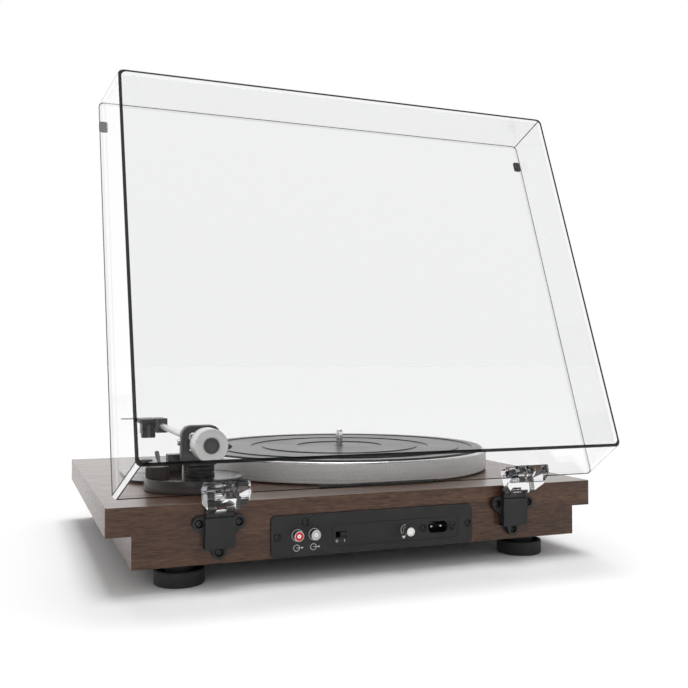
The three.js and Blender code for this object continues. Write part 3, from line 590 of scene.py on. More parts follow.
CAP_GREY = gloss_plastic("cap_grey", linear(62, 62, 63), 0.35)
BASE_GLOSS = gloss_plastic("arm_base_gloss", linear(30, 27, 25), 0.2)
SHEET = pane("clear_sheet", (0.955, 0.957, 0.96))
# Painted shade: a near-black tint for the dark lines that refraction shows along the cover's cut rim, upper
# edge and corners.
PAINTED_EDGE_SHADE = pane("sheet_edge_painted_shade", (0.035, 0.036, 0.038), 0.5)
RIM = pane("sheet_rim", (0.9, 0.9, 0.905))
# Painted highlight: mostly flat white diffuse for the bright glint on the cover's rear right corner.
PAINTED_CORNER_HIGHLIGHT = pane("sheet_corner_painted_highlight", (0.9, 0.9, 0.9), 1.0, 0.9)
SIDE = pane("sheet_side", (0.998, 0.998, 0.998), 0.5)
CLEAR = moulded_clear("clear_moulding", (0.88, 0.88, 0.885))
MAT = mat_rubber()
BOARD = solder_mask()
RED = gloss_plastic("red_plastic", linear(212, 8, 12), 0.3)
WHITE = gloss_plastic("white_plastic", linear(196, 196, 196), 0.3)
INK = print_ink()


def paint_faces(obj, rule):
    """Gives each face the material that rule picks for its centre, in the drawing's millimetres."""
    back = TO_FRAME.inverted()
    for polygon in obj.data.polygons:
        polygon.material_index = rule(back @ polygon.center)


def cross_recess(radius, depth, face):
    """Cutters of a cross slot in a screw head that faces up at height face."""
    arms = []
    for angle in (QUARTER / 2, -QUARTER / 2):
        arm = block((-radius * 0.7, -radius * 0.17, face - depth), (radius * 0.7, radius * 0.17, face + 1))
        arms.append(turned(arm, Matrix.Rotation(angle, 4, "Z")))
    return arms


def screw(name, centre, radius, height, material, body, replaces=(), shank=(0, 0), facing=TO_REAR):
    """A domed cross-head screw that faces along an axis, with its shank's radius and length."""
    profile = [(0, 0), (radius, 0), (radius, height * 0.45), (radius * 0.86, height * 0.8),
               (radius * 0.55, height), (0, height)]
    if shank[1]:
        profile = [(0, -shank[1]), (shank[0], -shank[1]), (shank[0], 0)] + profile[1:]
    placed = Matrix.Translation(centre) @ facing
    return piece(name, lathe(profile, 28), material, body, replaces, placed,
                 cutters=cross_recess(radius, height * 0.9, height))


# ---- plinth, feet and what the plinth holds -----------------------------------------------
BODY_TOP = 42.5
BODY_INSET = 18.6
WALL = 14


def plinth():
    low, high = node_box("plinth_shell")
    width, depth = high.x - low.x, high.y - low.y
    inner = width / 2 - BODY_INSET
    slab = prism(rounded_rectangle(width, depth, 2.5, 5), BODY_TOP, high.z)
    body = block((-inner, low.y, low.z), (inner, high.y, BODY_TOP + 1))
    hollow = block((WALL - inner, low.y + WALL, low.z - 1), (inner - WALL, high.y - WALL, BODY_TOP))
    window = block((-77, high.y - 15, low.z + 4), (73, high.y + 5, low.z + 28))
    holes = []
    bores = {"bearing_housing": 9.3, "motor_pulley": 9.5, "arm_pillar": 8, "speed_knob": 3.5,
             "start_button": 3}
    for node, radius in bores.items():
        middle = node_centre(node)
        holes.append(moved(rod(radius, BODY_TOP - 1, high.z + 1), middle.x, middle.y, 0))
    seat = node_centre("bearing_housing")
    holes.append(moved(rod(15.3, high.z - 3.3, high.z + 1), seat.x, seat.y, 0))
    piece("plinth", slab, WALNUT, "base", ["plinth_shell"], bevel=0.5, segments=3, added=[body],
          cutters=[hollow, window, *holes])


def feet():
    cup, neck, scallops = 12, 11.5, 48
    for corner in ("rear_right", "rear_left", "front_left", "front_right"):
        _, high, middle, outer = round_node(f"foot_{corner}")
        profile = [(0, 0.6), (11, 0.6), (11, 0), (outer - 2.2, 0), (outer - 0.7, 0.5), (outer, 1.4),
                   (outer, cup - 0.7), (outer - 0.7, cup), (outer - 2.2, cup), (outer - 2.7, cup - 0.4),
                   (outer - 3, cup - 3), (neck + 1.2, cup - 3), (neck + 0.4, cup - 2.6), (neck, cup - 1.8),
                   (neck, high.z), (0, high.z)]
        notches = [moved(rod(0.55, -1, 1.1, 10), x, y, 0) for x, y in round_outline(outer, scallops)]
        piece(f"foot_{corner}_cup", upright(profile, middle, 0, 96), RUBBER, "base",
              [f"foot_{corner}"], cutters=[moved(joined(*notches), middle.x, middle.y, 0)])


def inside():
    refine("bottom_cover", BLACK, 0.5)
    low, high = node_box("bottom_cover")
    for index, (x, y) in enumerate([(-1, -1), (0, -1), (1, -1), (-1, 1), (0, 1), (1, 1)]):
        centre = (x * (high.x - 8), y * (high.y - 8), low.z + 1.1)
        screw(f"cover_plate_screw_{index + 1}", centre, 3.2, 1.0, STEEL, "base",
              facing=Matrix.Rotation(math.pi, 4, "X"))
    refine("bearing_housing", BRASS, 0.4)
    refine("motor", STEEL, 0.8)
    refine("motor_pulley", BRASS, 0.15)
    refine("drive_belt", RUBBER, 0.1)
    board_low, board_high = node_box("circuit_board")
    refine("circuit_board", BOARD, 0.2)
    parts = []
    cans = [(-60, 6, 5.0, 11), (-46, 7, 5.0, 11), (-30, 8, 3.2, 7), (20, 7, 3.2, 7), (34, 10, 3.2, 7),
            (50, 6, 4, 9)]
    for x, y, radius, height in cans:
        can = lathe([(0, 0), (radius, 0), (radius, height - 0.5), (radius - 0.6, height), (0, height)], 24)
        parts.append(moved(can, board_low.x + 75 + x, board_low.y + 10 + y, board_high.z))
    for x in (-12, 2, 62):
        left = board_low.x + 75 + x
        corner = (left + 9, board_low.y + 20, board_high.z + 2.4)
        parts.append(block((left, board_low.y + 8, board_high.z), corner))
    piece("board_parts", joined(*parts), DARK_PLASTIC, "base", bevel=0.2)


# ---- platter, mat and spindle -------------------------------------------------------------
def platter():
    low, high, middle, radius = round_node("platter")
    top = high.z - low.z
    web = top - 1.5
    under = web - 4
    profile = [(radius - 5, 0.4), (radius - 4.6, 0), (radius - 0.7, 0), (radius, 0.7), (radius, 3.0),
               (radius - 0.4, 3.2), (radius - 0.4, 3.7), (radius, 3.9), (radius, top - 1.6),
               (radius - 0.5, top - 0.5), (radius - 1.1, top - 0.1), (radius - 1.8, top),
               (radius - 2.3, top - 0.4), (radius - 2.9, web), (3.9, web), (3.9, 4), (12, 4), (12, under),
               (65, under), (65, 2.4), (65.4, 2), (69.6, 2), (70, 2.4), (70, under), (radius - 5, under),
               (radius - 5, 0.4)]
    obj = piece("platter_casting", upright(profile, middle, low.z, 160), ALUMINIUM, "platter",
                ["platter"], extra_materials=[BRIGHT])
    paint_faces(obj, lambda centre: 1 if centre.z > low.z + top - 1.6 else 0)


def platter_mat():
    low, high, middle, radius = round_node("platter_mat")
    top, sunk, soft, bore = high.z, 0.9, 0.3, 4.5
    profile = [(bore, low.z), (radius - 0.3, low.z), (radius, low.z + 0.3), (radius, top - 0.6),
               (radius - 0.6, top)]
    for outer, inner in ((134, 121), (90, 79)):
        profile += [(outer + soft, top), (outer, top - soft), (outer, top - sunk), (inner, top - sunk),
                    (inner, top - soft), (inner - soft, top)]
    profile += [(43 + soft, top), (43, top - soft), (43, top - sunk), (5.2, top - sunk),
                (bore, top - sunk - 0.5), (bore, low.z)]
    piece("ribbed_mat", upright(profile, middle, 0, 160), MAT, "platter", ["platter_mat"])


def spindle():
    low, high, middle, _ = round_node("spindle")
    radius, flange = 3.6, 6.6
    base = node_box("platter")[0].z + 4 - 0.3
    end = high.z
    profile = [(0, low.z), (radius, low.z), (radius, base - 2), (flange, base - 2), (flange, base),
               (radius, base), (radius, end - 3.6), (3.45, end - 2.7), (3.1, end - 1.8), (2.5, end - 0.95),
               (1.6, end - 0.3), (0.8, end - 0.05), (0, end)]
    piece("centre_spindle", upright(profile, middle, 0, 48), CHROME, "platter", ["spindle"])


# ---- rear panel and sockets ---------------------------------------------------------------
PANEL_FACE = node_box("rear_panel")[1].y
PRINT = 0.06
SCREW_NODES = ("panel_screw_1", "panel_screw_2", "panel_screw_3", "inlet_screw_1", "inlet_screw_2")


def rear_panel():
    low, high = node_box("rear_panel")
    middle = (low + high) / 2
    outline = rounded_rectangle(high.x - low.x, high.z - low.z, 4, 6, (middle.x, middle.z))
    plate = standing(outline, low.y, high.y)
    through = (low.y - 1, high.y + 1)
    holes = []
    for node in ("rca_socket_red", "rca_socket_white", "ground_post"):
        _, _, centre, radius = round_node(node)
        holes.append(standing(round_outline(radius + 0.3, 40, (centre.x, centre.z)), *through))
    slot_low, slot_high = SWITCH_SLOT
    holes.append(block((slot_low[0], through[0], slot_low[1]), (slot_high[0], through[1], slot_high[1])))
    holes.append(standing(INLET_OUTLINE, *through))
    width, height, centre, line = 112, 17.5, (-19.6, 32.75), 0.4
    outer = rounded_rectangle(width, height, 2.5, 5, centre)
    inner = rounded_rectangle(width - 2 * line, height - 2 * line, 2.5 - line, 5, centre)
    grooves = [standing_frame(outer, inner, high.y - 0.35, high.y + 1)]
    for node in SCREW_NODES:
        centre = node_centre(node)
        sink = [(0, -0.6), (3.0, -0.6), (3.4, 1), (0, 1)]
        grooves.append(rear_facing(sink, (centre.x, high.y, centre.z)))
    piece("socket_panel", plate, BLACK, "base", ["rear_panel"], bevel=0.25,
          cutters=holes + grooves)


SWITCH_CENTRE = node_centre("switch_housing")
SWITCH_SLOT = [(SWITCH_CENTRE.x + side * 4.8, SWITCH_CENTRE.z + side * 2.3) for side in (-1, 1)]
INLET = node_centre("mains_inlet")
INLET_OUTLINE = rounded_rectangle(18, 9.5, 4, 6, (INLET.x, INLET.z))


def sockets():
    skin = 0.45
    for colour, material in (("red", RED), ("white", WHITE)):
        node = f"rca_socket_{colour}"
        _, high, middle, outer = round_node(node)
        length = high.y - PANEL_FACE
        centre = (middle.x, PANEL_FACE, middle.z)
        piece(f"{colour}_insulator", rear_facing(tube(1.6, outer - 0.5, -10, length - 0.3), centre, 48),
              material, "base", [node], bevel=0.12)
        piece(f"{colour}_barrel", rear_facing(tube(outer - skin, outer, -6, length - 1), centre, 48),
              GLOSS_BLACK, "base")
        rim = [(outer - skin, length - 0.9), (outer, length - 0.9), (outer, length - 0.2),
               (outer - 0.2, length), (outer - skin, length), (outer - skin, length - 0.9)]
        contact = [(0, -4), (1.55, -4), (1.55, length - 0.5), (0.5, length - 0.5), (0.4, length - 2),
                   (0, length - 2)]
        metal = joined(*(rear_facing(shape, centre, 48) for shape in (rim, contact)))
        piece(f"{colour}_socket_metal", metal, NICKEL, "base")
        piece(f"{colour}_washer", rear_facing(tube(outer + 0.3, outer + 0.8, 0.02, 0.3), centre, 48), WHITE,
              "base")


def switch():
    refine("switch_housing", GLOSS_BLACK, 0.2)
    low, high = node_box("switch_slider")
    knob = block(low, high)
    ribs = [block((x - 0.25, high.y - 0.7, low.z - 1), (x + 0.25, high.y + 1, high.z + 1))
            for x in (low.x + 1.4, (low.x + high.x) / 2, high.x - 1.4)]
    piece("power_slider", knob, DARK_PLASTIC, "switch", ["switch_slider"], bevel=0.2,
          cutters=ribs)


def ground_terminal():
    low, high, middle, outer = round_node("ground_nut")
    depth = high.y - low.y - 2
    bore = rear_facing(disc(2.3, -2, depth), (middle.x, low.y, middle.z))
    dish = rear_facing([(0, 1.2), (outer - 1.1, 1.2), (outer - 0.7, 2), (0, 2)],
                       (middle.x, high.y - 1.5, middle.z))
    knurled = standing(ribbed((middle.x, middle.z), outer, 36, 0.22), low.y, high.y)
    piece("knurled_nut", knurled, NICKEL, "nut", ["ground_nut"], bevel=0.18, cutters=[bore, dish])
    refine("ground_post", STEEL, 0.2)


def inlet():
    low, high = node_box("mains_inlet")
    flange = block((low.x, high.y - 2, low.z), (high.x, high.y, high.z))
    shell = standing(rounded_rectangle(20.4, 11.9, 5, 6, (INLET.x, INLET.z)), low.y, high.y - 1)
    recess = standing(INLET_OUTLINE, low.y + 3, high.y + 1)
    piece("inlet_body", flange, GLOSS_BLACK, "base", ["mains_inlet"], bevel=0.3,
          added=[shell], cutters=[recess])
    pin, half_spacing = 1.3, 4.4
    pins = []
    for x in (INLET.x - half_spacing, INLET.x + half_spacing):
        shape = [(0, 0), (pin, 0), *dome(pin, 11.4, 0.9)]
        pins.append(rear_facing(shape, (x, low.y + 2.5, INLET.z + 0.1), 20))
    piece("inlet_pins", joined(*pins), NICKEL, "base")


def printed_marks():
    """Plain symbols: off and on by the switch, arrows under the sockets and round the ground post."""
    face = (PANEL_FACE - 0.02, PANEL_FACE + PRINT)
    line = 0.35

    def bar(x, z, width, height):
        return block((x - width / 2, face[0], z - height / 2), (x + width / 2, face[1], z + height / 2))

    def hoop(x, z, radius):
        outer, inner = (round_outline(edge, 24, (x, z)) for edge in (radius, radius - line))
        return standing_frame(outer, inner, *face)

    marks = [hoop(SWITCH_CENTRE.x + 3.9, 28.2, 1.0), bar(SWITCH_CENTRE.x - 2.6, 28.2, 0.4, 2.0)]
    for node in ("rca_socket_red", "rca_socket_white"):
        x, z = node_centre(node).x + 0.6, 25.2
        marks += [hoop(x, z, 2.6), bar(x - 2.1, z, 4.2, line)]
        marks.append(standing([(x - 5.6, z), (x - 4.1, z - 0.9), (x - 4.1, z + 0.9)], *face))
    post = node_centre("ground_post")
    centre, radius = (post.x, post.z), 4.6
    around = arc(centre, radius, -QUARTER / 2, QUARTER, 16)
    around += arc(centre, radius - line, QUARTER, -QUARTER / 2, 16)
    head = [(post.x + 1.9, post.z - 7), (post.x + 3.8, post.z - 4.6), (post.x, post.z - 4.6)]
    marks += [standing(shape, *face) for shape in (around, head)]
    piece("panel_print", joined(*marks), INK, "base")


def panel_screws():
    for node in SCREW_NODES:
        low, high = node_box(node)
        middle = (low + high) / 2
        seat = PANEL_FACE - 0.4
        screw(f"{node}_head", (middle.x, seat, middle.z), (high.x - low.x) / 2, 1.5, BLACK_METAL, "base",
              [node], shank=(1.2, seat - low.y))


# ---- hinges -------------------------------------------------------------------------------
def hinge_holder(side):
    node = f"hinge_holder_{side}"
    low, high = node_box(node)
    x = (low.x + high.x) / 2
    seat = low.y
    ear, ear_z, low_z, flange = 5.2, 49.2, 27.2, 4.2
    reach = (high.x - low.x) / 2 - ear
    bottom, top, half = 30.5, 53.5, 11.5
    outline = arc((x + reach, ear_z), ear, -0.9, QUARTER, 10)
    outline += arc((x - reach, ear_z), ear, QUARTER, math.pi + 0.9, 10)
    outline += [(x - half, (ear_z + bottom) / 2), (x - half, bottom + 1)]
    outline += [(x - 6.8, bottom + 1), *arc((x, low_z), ear, math.pi + 0.6, 2 * math.pi - 0.6, 12)]
    outline += [(x + 6.8, bottom + 1), (x + half, bottom + 1), (x + half, (ear_z + bottom) / 2)]
    box = block((x - half, seat, bottom), (x + half, seat + 8.2, top))
    neck = block((x - 10.5, HINGE.y - 3, top - 0.5), (x + 10.5, HINGE.y + 1, 56.6))
    lug = profiled([(HINGE.y - 3, 52.5), (HINGE.y + 1, 52.5),
                    *arc((HINGE.y, HINGE.z), 4, -1.2, math.pi + 0.7, 24)],
                   x - 10.5, x + 10.5)
    between = block((x - 4.2, HINGE.y - 6, 56.6), (x + 4.2, HINGE.y + 6, HINGE.z + 6))
    spots = [(x - reach, ear_z), (x + reach, ear_z), (x, low_z)]
    sinks = [rear_facing([(0, 1.7), (3.1, 1.7), (3.3, 6), (0, 6)], (sx, seat, sz)) for sx, sz in spots]
    bore = crossbar(1.6, HINGE, x - 12, x + 12)
    piece(f"{node}_body", standing(outline, seat, seat + flange), BLACK, "base", [node],
          bevel=0.5, segments=3, added=[box, neck, lug], cutters=[between, *sinks, bore])
    for index, (sx, sz) in enumerate(spots):
        screw(f"{node}_screw_{index + 1}", (sx, seat + 1.9, sz), 2.8, 1.6, BLACK_METAL, "base")
    refine(f"hinge_pin_{side}", STEEL, 0.2)


RIM_Z = 66.4
LID_REAR = 169.7
LID_WIDTH, LID_DEPTH, LID_HEIGHT = 412.2, 340.6, 58.2
LEAN = 9.5 / LID_HEIGHT
SHEET_WALL = 3


def rear_wall(height, inner=False):
    """The cover's rear wall in y at a height above the rim, drawn closed."""
    return LID_REAR - height * LEAN - (SHEET_WALL + 0.4 if inner else -0.3)


def hinge_bracket(side):
    """A clear faceted wedge behind the cover's rear wall, on a knuckle that holds the pin, drawn closed."""
    x = HINGE_X[side]
    reach, inner, web = 27.5, 10, RIM_Z - 1.7
    back = HINGE.y + 4
    points = [(back, web), (back, RIM_Z + 7), (rear_wall(reach) + 5, RIM_Z + reach),
              (rear_wall(reach), RIM_Z + reach), (rear_wall(0), RIM_Z - 0.3),
              (rear_wall(0, True), RIM_Z - 0.3), (rear_wall(inner, True), RIM_Z + inner),
              (rear_wall(inner, True) - 2.5, RIM_Z + inner), (rear_wall(0, True) - 3.5, web)]
    half = 17.5
    right_side = [(12, web - 1), (12, RIM_Z + 7), (half, RIM_Z + 13.5), (half, RIM_Z + 22.5),
                  (15.5, RIM_Z + reach + 1)]
    plan = [(x + px, pz) for px, pz in right_side] + [(x - px, pz) for px, pz in reversed(right_side)]
    wedge = profiled(points, x - half, x + half)
    clearance = crossbar(4.4, HINGE, x - 10.8, x + 10.8, 32)
    slots = [block((x + offset - 0.85, HINGE.y - 9.5, 86),
                   (x + offset + 0.85, back + 1, 96)) for offset in (-3, 3)]
    arm = block((x - 3.8, HINGE.y - 4.55, HINGE.z), (x + 3.8, HINGE.y + 1.95, HINGE.z + 10))
    knuckle = crossbar(4, HINGE, x - 3.8, x + 3.8, 32)
    bore = crossbar(1.6, HINGE, x - 15, x + 15)
    obj = bare_object("bracket_blank", wedge, OPENED)
    carve(obj, [standing(plan, LID_REAR - 30, LID_REAR + 20)], OPENED, "INTERSECT")
    carve(obj, [clearance, *slots], OPENED)
    carve(obj, [arm, knuckle], OPENED, "UNION")
    carve(obj, [bore], OPENED)
    finish_piece(obj, f"bracket_{side}_clear", CLEAR, "cover", [f"hinge_bracket_{side}"],
                 0.6, 3)


HINGE_X = {side: node_centre(f"hinge_pin_{side}").x for side in ("right", "left")}


# ---- dust cover ---------------------------------------------------------------------------
def cover_ring(inset, height, corner):
    outline = rounded_rectangle(LID_WIDTH - 2 * inset, LID_DEPTH - 2 * inset, corner, 8,
                                (0, LID_REAR - LID_DEPTH / 2))
    return [(x, y, RIM_Z + height) for x, y in outline]


def cover_skin(wall, top, corner, round_edge):
    """Rings of one side of the sheet from the rim to the flat top, with a rounded upper edge."""
    lean_angle = math.atan(LEAN)
    rings = [cover_ring(wall, 0, corner)]
    edge = top - round_edge * (1 - math.sin(lean_angle))
    centre_inset = wall + edge * LEAN + round_edge * math.cos(lean_angle)
    steps = 5
    for step in range(steps + 1):
        angle = lean_angle + (QUARTER - lean_angle) * step / steps
        inset = centre_inset - round_edge * math.cos(angle)
        rings.append(cover_ring(inset, top - round_edge * (1 - math.sin(angle)), corner + step * 0.1))
    return rings


def dust_cover():
    """One moulded sheet with a tinted cut rim. Dark bands along the rim line, the rounded upper edge and the
    middle of each corner are painted shade for the dark lines of refraction, and a white strip at the rear
    right corner is a painted highlight.
    """
    corner, round_edge, band = 4.5, 1.2, 1.0
    outer = cover_skin(0, LID_HEIGHT, corner, round_edge)
    outer.append(cover_ring(LID_HEIGHT * LEAN + round_edge + band, LID_HEIGHT, corner))
    inner = cover_skin(SHEET_WALL, LID_HEIGHT - SHEET_WALL, 2.5, 1.0)
    rim_line = cover_ring(0.8, 0, corner)
    rings = list(reversed(inner)) + [rim_line] + outer
    count = len(rings[0])
    obj = piece("clear_cover", loft(rings), SHEET, "cover", ["dust_cover"], OPENED,
                extra_materials=[PAINTED_EDGE_SHADE, RIM, PAINTED_CORNER_HIGHLIGHT, SIDE])
    rim_row = len(inner) - 1
    wall_row = rim_row + 2
    quarter = count // 4
    edge, rim, painted_highlight_strip, side = 1, 2, 3, 4  # places in the list of materials
    for polygon in obj.data.polygons:
        row, column = divmod(polygon.index, count)
        corner_number, step = divmod(column, quarter)
        if row >= len(rings) - 1:
            continue
        if row == rim_row:
            polygon.material_index = rim
        # Painted shade: the rim's outer strip, the rounded upper edge and a band of the top get the dark edge
        # tint.
        elif row == rim_row + 1 or row > wall_row:
            polygon.material_index = edge
        elif row in (rim_row - 1, wall_row):
            polygon.material_index = side
        # Painted highlight: a white strip on the rear right corner, with painted dark lines beside it and
        # down the middle of each corner.
        if row == wall_row:
            at_rear_right = corner_number == 0
            if at_rear_right and 2 <= step <= 5:
                polygon.material_index = painted_highlight_strip
            elif step == 4 or at_rear_right and step in (1, 6):
                polygon.material_index = edge


def cover_trim():
    for side, sign in (("right", 1), ("left", -1)):
        x0, x1 = sorted((sign * (LID_WIDTH / 2 - 7), sign * LID_WIDTH / 2))
        y = LID_REAR - LID_DEPTH + 24
        pad = prism(rounded_rectangle(x1 - x0, 10, 1.6, 5, ((x0 + x1) / 2, y)), RIM_Z - 2.3, RIM_Z - 0.3)
        piece(f"bumper_{side}", pad, RUBBER, "cover", [f"cover_bumper_{side}"], OPENED,
              bevel=0.5, segments=3)
    strip = block((-54.7, LID_REAR - SHEET_WALL, RIM_Z - 2.3), (49.3, LID_REAR, RIM_Z - 0.3))
    piece("rear_strip", strip, RUBBER, "cover", ["rear_buffer"], OPENED, bevel=0.4,
          segments=3)


# ---- tonearm ------------------------------------------------------------------------------
ARM_PIVOT = joint_point("arm_tilt")
LIFT_STEM = Vector((113.4, 76, 0))
TUBE = 3.1


def tonearm_base():
    low = node_box("tonearm_base")[0]
    centre, radius, top = Vector((129.5, 92, 0)), 41, 75
    profile = [(0, low.z), (radius - 0.4, low.z), (radius, low.z + 0.4), (radius, top - 1.5),
               (radius - 0.5, top - 0.5), (radius - 1.6, top), (0, top)]
    drum = upright(profile, centre, 0, 96)
    apron = prism(rounded_rectangle(66, 106, 22, 12, (143, 4)), low.z, low.z + 2.5)
    sleeve = [(0, top - 1), (4.5, top - 1), (4.5, top + 6.2), (3.9, top + 7), (0, top + 7)]
    guide = upright(sleeve, LIFT_STEM, 0, 32)
    ear = block((148.25, 64, top - 1), (150.75, 72, 83))
    housing = block((137.5, 72, top - 1), (149.5, 82, 91.5))
    groove = upright(tube(radius - 6.4, radius - 5.8, top - 0.5, top + 1), centre, 0, 96)
    stem_hole = upright(disc(2.7, top - 5, top + 15), LIFT_STEM, 0, 32)
    piece("arm_mounting", drum, BASE_GLOSS, "base", ["tonearm_base"], bevel=0.35,
          added=[apron, guide, ear, housing], cutters=[groove, stem_hole])


def arm_pillar():
    low, high, middle, radius = round_node("arm_pillar")
    profile = [(0, low.z), (radius, low.z), (radius, low.z + 2), (radius - 0.7, low.z + 2.4),
               (radius - 0.7, high.z - 3), (radius, high.z - 2.6), (radius, high.z - 0.6),
               (radius - 0.6, high.z), (0, high.z)]
    piece("pivot_pillar", upright(profile, middle, 0, 48), BLACK, "base",
          ["arm_pillar"])


def yoke():
    low, high = node_box("arm_yoke")
    x, y, z = ARM_PIVOT
    width, height, member, sill = 33, high.z - low.z, 6, 95.5
    opening = high.z - member - sill
    outer = rounded_rectangle(width, height, 9, 10, (x, (low.z + high.z) / 2))
    inner = rounded_rectangle(width - 2 * member, opening, 4, 10, (x, sill + opening / 2))
    bores = crossbar(2.3, ARM_PIVOT, x - 14.5, x + 14.5)
    piece("gimbal_loop", standing_frame(outer, inner, low.y, high.y), LACQUER, "yoke",
          ["arm_yoke"], bevel=1.1, segments=4, cutters=[bores])
    for index, sign in enumerate((-1, 1)):
        turn = Matrix.Rotation(sign * QUARTER, 4, "Y")
        placed = Matrix.Translation((x + sign * (width / 2 - 0.5), y, z)) @ turn
        head = lathe([(0, 0), (2.6, 0), (2.6, 2.7), (2.2, 3), (0, 3)], 24)
        slot = block((-0.35, -3, 2.2), (0.35, 3, 5))
        piece(f"pivot_screw_{index + 1}", head, STEEL, "yoke", placed=placed, cutters=[slot])
    stem = [(0, 0), (1, 0), (1, 6.9), (2.2, 7.1), (2.2, 9.1), (1, 9.3), (1, 10.4), (0.7, 10.6), (0, 10.6)]
    placed = Matrix.Translation((x - width / 2 + 0.1, y, 98.4)) @ Matrix.Rotation(-QUARTER, 4, "Y")
    piece("side_screw", lathe(stem, 24), BLACK_METAL, "yoke", placed=placed)


def arm():
    x, y, z = ARM_PIVOT
    hub = prism(rounded_rectangle(15, 12.5, 2.5, 6, (x, y)), z - 6, z + 6)
    seat = rear_facing([(0, -14), (TUBE + 0.3, -14), (TUBE + 0.3, -1), (0, -1)], (x, y, z))
    pivots = crossbar(2, ARM_PIVOT, x - 15.7, x + 15.7)
    shaft_end = node_box("arm_hub")[1].y
    shaft = rear_facing([(0, 0), (5, 0), (5, shaft_end - y - 0.5), (4.5, shaft_end - y),
                         (0, shaft_end - y)], (x, y, z))
    piece("bearing_block", hub, LACQUER, "arm", ["arm_hub"], bevel=0.6, segments=3,
          added=[pivots, shaft], cutters=[seat])
    low, high = node_box("arm_tube")
    length = high.y - low.y
    profile = [(0, 0), (TUBE - 0.3, 0), (TUBE, 0.3), (TUBE, length), (0, length)]
    piece("wand", rear_facing(profile, (x, low.y, z), 48), TUBE_METAL, "arm", ["arm_tube"])


def headshell():
    low, high = node_box("headshell")
    plate_x = 133.2
    top = 110.3
    plate = prism(rounded_rectangle(28, 32, 4, 8, (plate_x, -116)), top - 4.2, top)
    collar = prism(rounded_rectangle(11.5, 13, 2.5, 6, (ARM_PIVOT.x, -95.5)), high.z - 14.6, high.z)
    seat = rear_facing([(0, 0), (TUBE + 0.3, 0), (TUBE + 0.3, 30), (0, 30)],
                       (ARM_PIVOT.x, -94.3, ARM_PIVOT.z))
    screws = [(136.8 + offset, -117.5) for offset in (-6.35, 6.35)]
    slots = [prism(rounded_rectangle(3.2, 12, 1.6, 6, place), top - 6, top + 1) for place in screws]
    piece("shell_plate", plate, LACQUER, "arm", ["headshell"], bevel=0.5, added=[collar],
          cutters=[seat, *slots])
    for index, place in enumerate(screws):
        screw(f"cartridge_screw_{index + 1}", (*place, top - 0.6), 2.3, 1.2, STEEL, "arm",
              shank=(1.2, 4), facing=Matrix.Identity(4))
    low, high = node_box("finger_lift")
    bar = block((low.x, low.y, high.z - 1.8), high)
    root = block((low.x, low.y, low.z), (low.x + 1.8, high.y, high.z - 0.8))
    piece("finger_bar", bar, TUBE_METAL, "arm", ["finger_lift"], bevel=0.45, segments=3,
          added=[root])


def cartridge():
    low, high = node_box("cartridge")
    body = block(low, high)
    notch = block((low.x - 1, low.y - 1, low.z - 1), (high.x + 1, low.y + 7.5, low.z + 4))
    waist = block((low.x - 1, low.y + 8, low.z + 8.4), (high.x + 1, high.y + 1, low.z + 9))
    piece("cartridge_body", body, LACQUER, "arm", ["cartridge"], bevel=0.5, segments=3,
          cutters=[notch, waist])
    strip = block((low.x - 0.25, low.y + 9.5, low.z + 1.2), (low.x + 0.4, low.y + 12.2, high.z - 1.2))
    other = block((high.x - 0.4, low.y + 9.5, low.z + 1.2), (high.x + 0.25, low.y + 12.2, high.z - 1.2))
    middle = (low.x + high.x) / 2
    rear = block((middle - 1.6, high.y - 0.3, low.z + 1), (middle + 1.6, high.y + 0.3, high.z - 2))
    piece("cartridge_strips", joined(strip, other, rear), DARK_METAL, "arm", bevel=0.12)
    pin = [(0, 0), (0.5, 0), (0.5, 3.4), (0.35, 3.6), (0, 3.6)]
    pins = [rear_facing(pin, (low.x + 3.4 + 2.2 * i, high.y - 0.3, low.z + 11.4), 12) for i in range(4)]
    piece("cartridge_pins", joined(*pins), BRASS, "arm")
    refine("stylus", WHITE, 0.08)


def counterweight():
    x, _, z = ARM_PIVOT
    bore = 5.3
    low, high, _, outer = round_node("tracking_ring")
    length = high.y - low.y
    profile = [(bore, 0), (outer - 1.0, 0), (outer - 0.2, 0.6), (outer, 1.4), (outer, length),
               (bore, length), (bore, 0)]
    piece("scale_ring", rear_facing(profile, (x, low.y, z), 72), DARK_METAL, "ring",
          ["tracking_ring"])
    ticks = []
    for index in range(36):
        reach = 1.8 if index % 6 == 0 else 1.0
        tick = block((-0.12, 1.6, outer - 0.05), (0.12, 1.6 + reach, outer + 0.04))
        turn = Matrix.Rotation(index * math.pi / 18, 4, "Y")
        ticks.append(turned(tick, Matrix.Translation((x, low.y, z)) @ turn))
    piece("scale_ticks", joined(*ticks), INK, "ring")
    low, high, _, outer = round_node("counterweight")
    length = high.y - low.y
    profile = [(bore, 0), (outer - 0.5, 0), (outer, 0.5), (outer, 3.4), (outer - 0.4, 3.7),
               (outer - 0.4, 4.3), (outer, 4.6), (outer, length - 1.5), (outer - 0.45, length - 0.5),
               (outer - 1.4, length), (7.5, length), (6.9, length - 0.5), (6.5, length - 0.5),
               (6.5, length - 2.5), (bore, length - 2.5), (bore, 0)]
    piece("balance_weight", rear_facing(profile, (x, low.y, z), 96), SILVER, "weight",
          ["counterweight"])
    low = node_box("counterweight_cap")[0]
    profile = [(0, 0), (6.2, 0), (6.2, 1.0), (5.9, 1.35), (4.9, 1.4), (4.7, 1.1), (4.3, 1.1), (4.1, 1.4),
               (3.4, 1.6), (0, 1.6)]
    piece("weight_plug", rear_facing(profile, (x, low.y, z), 64), CAP_GREY, "weight",
          ["counterweight_cap"])


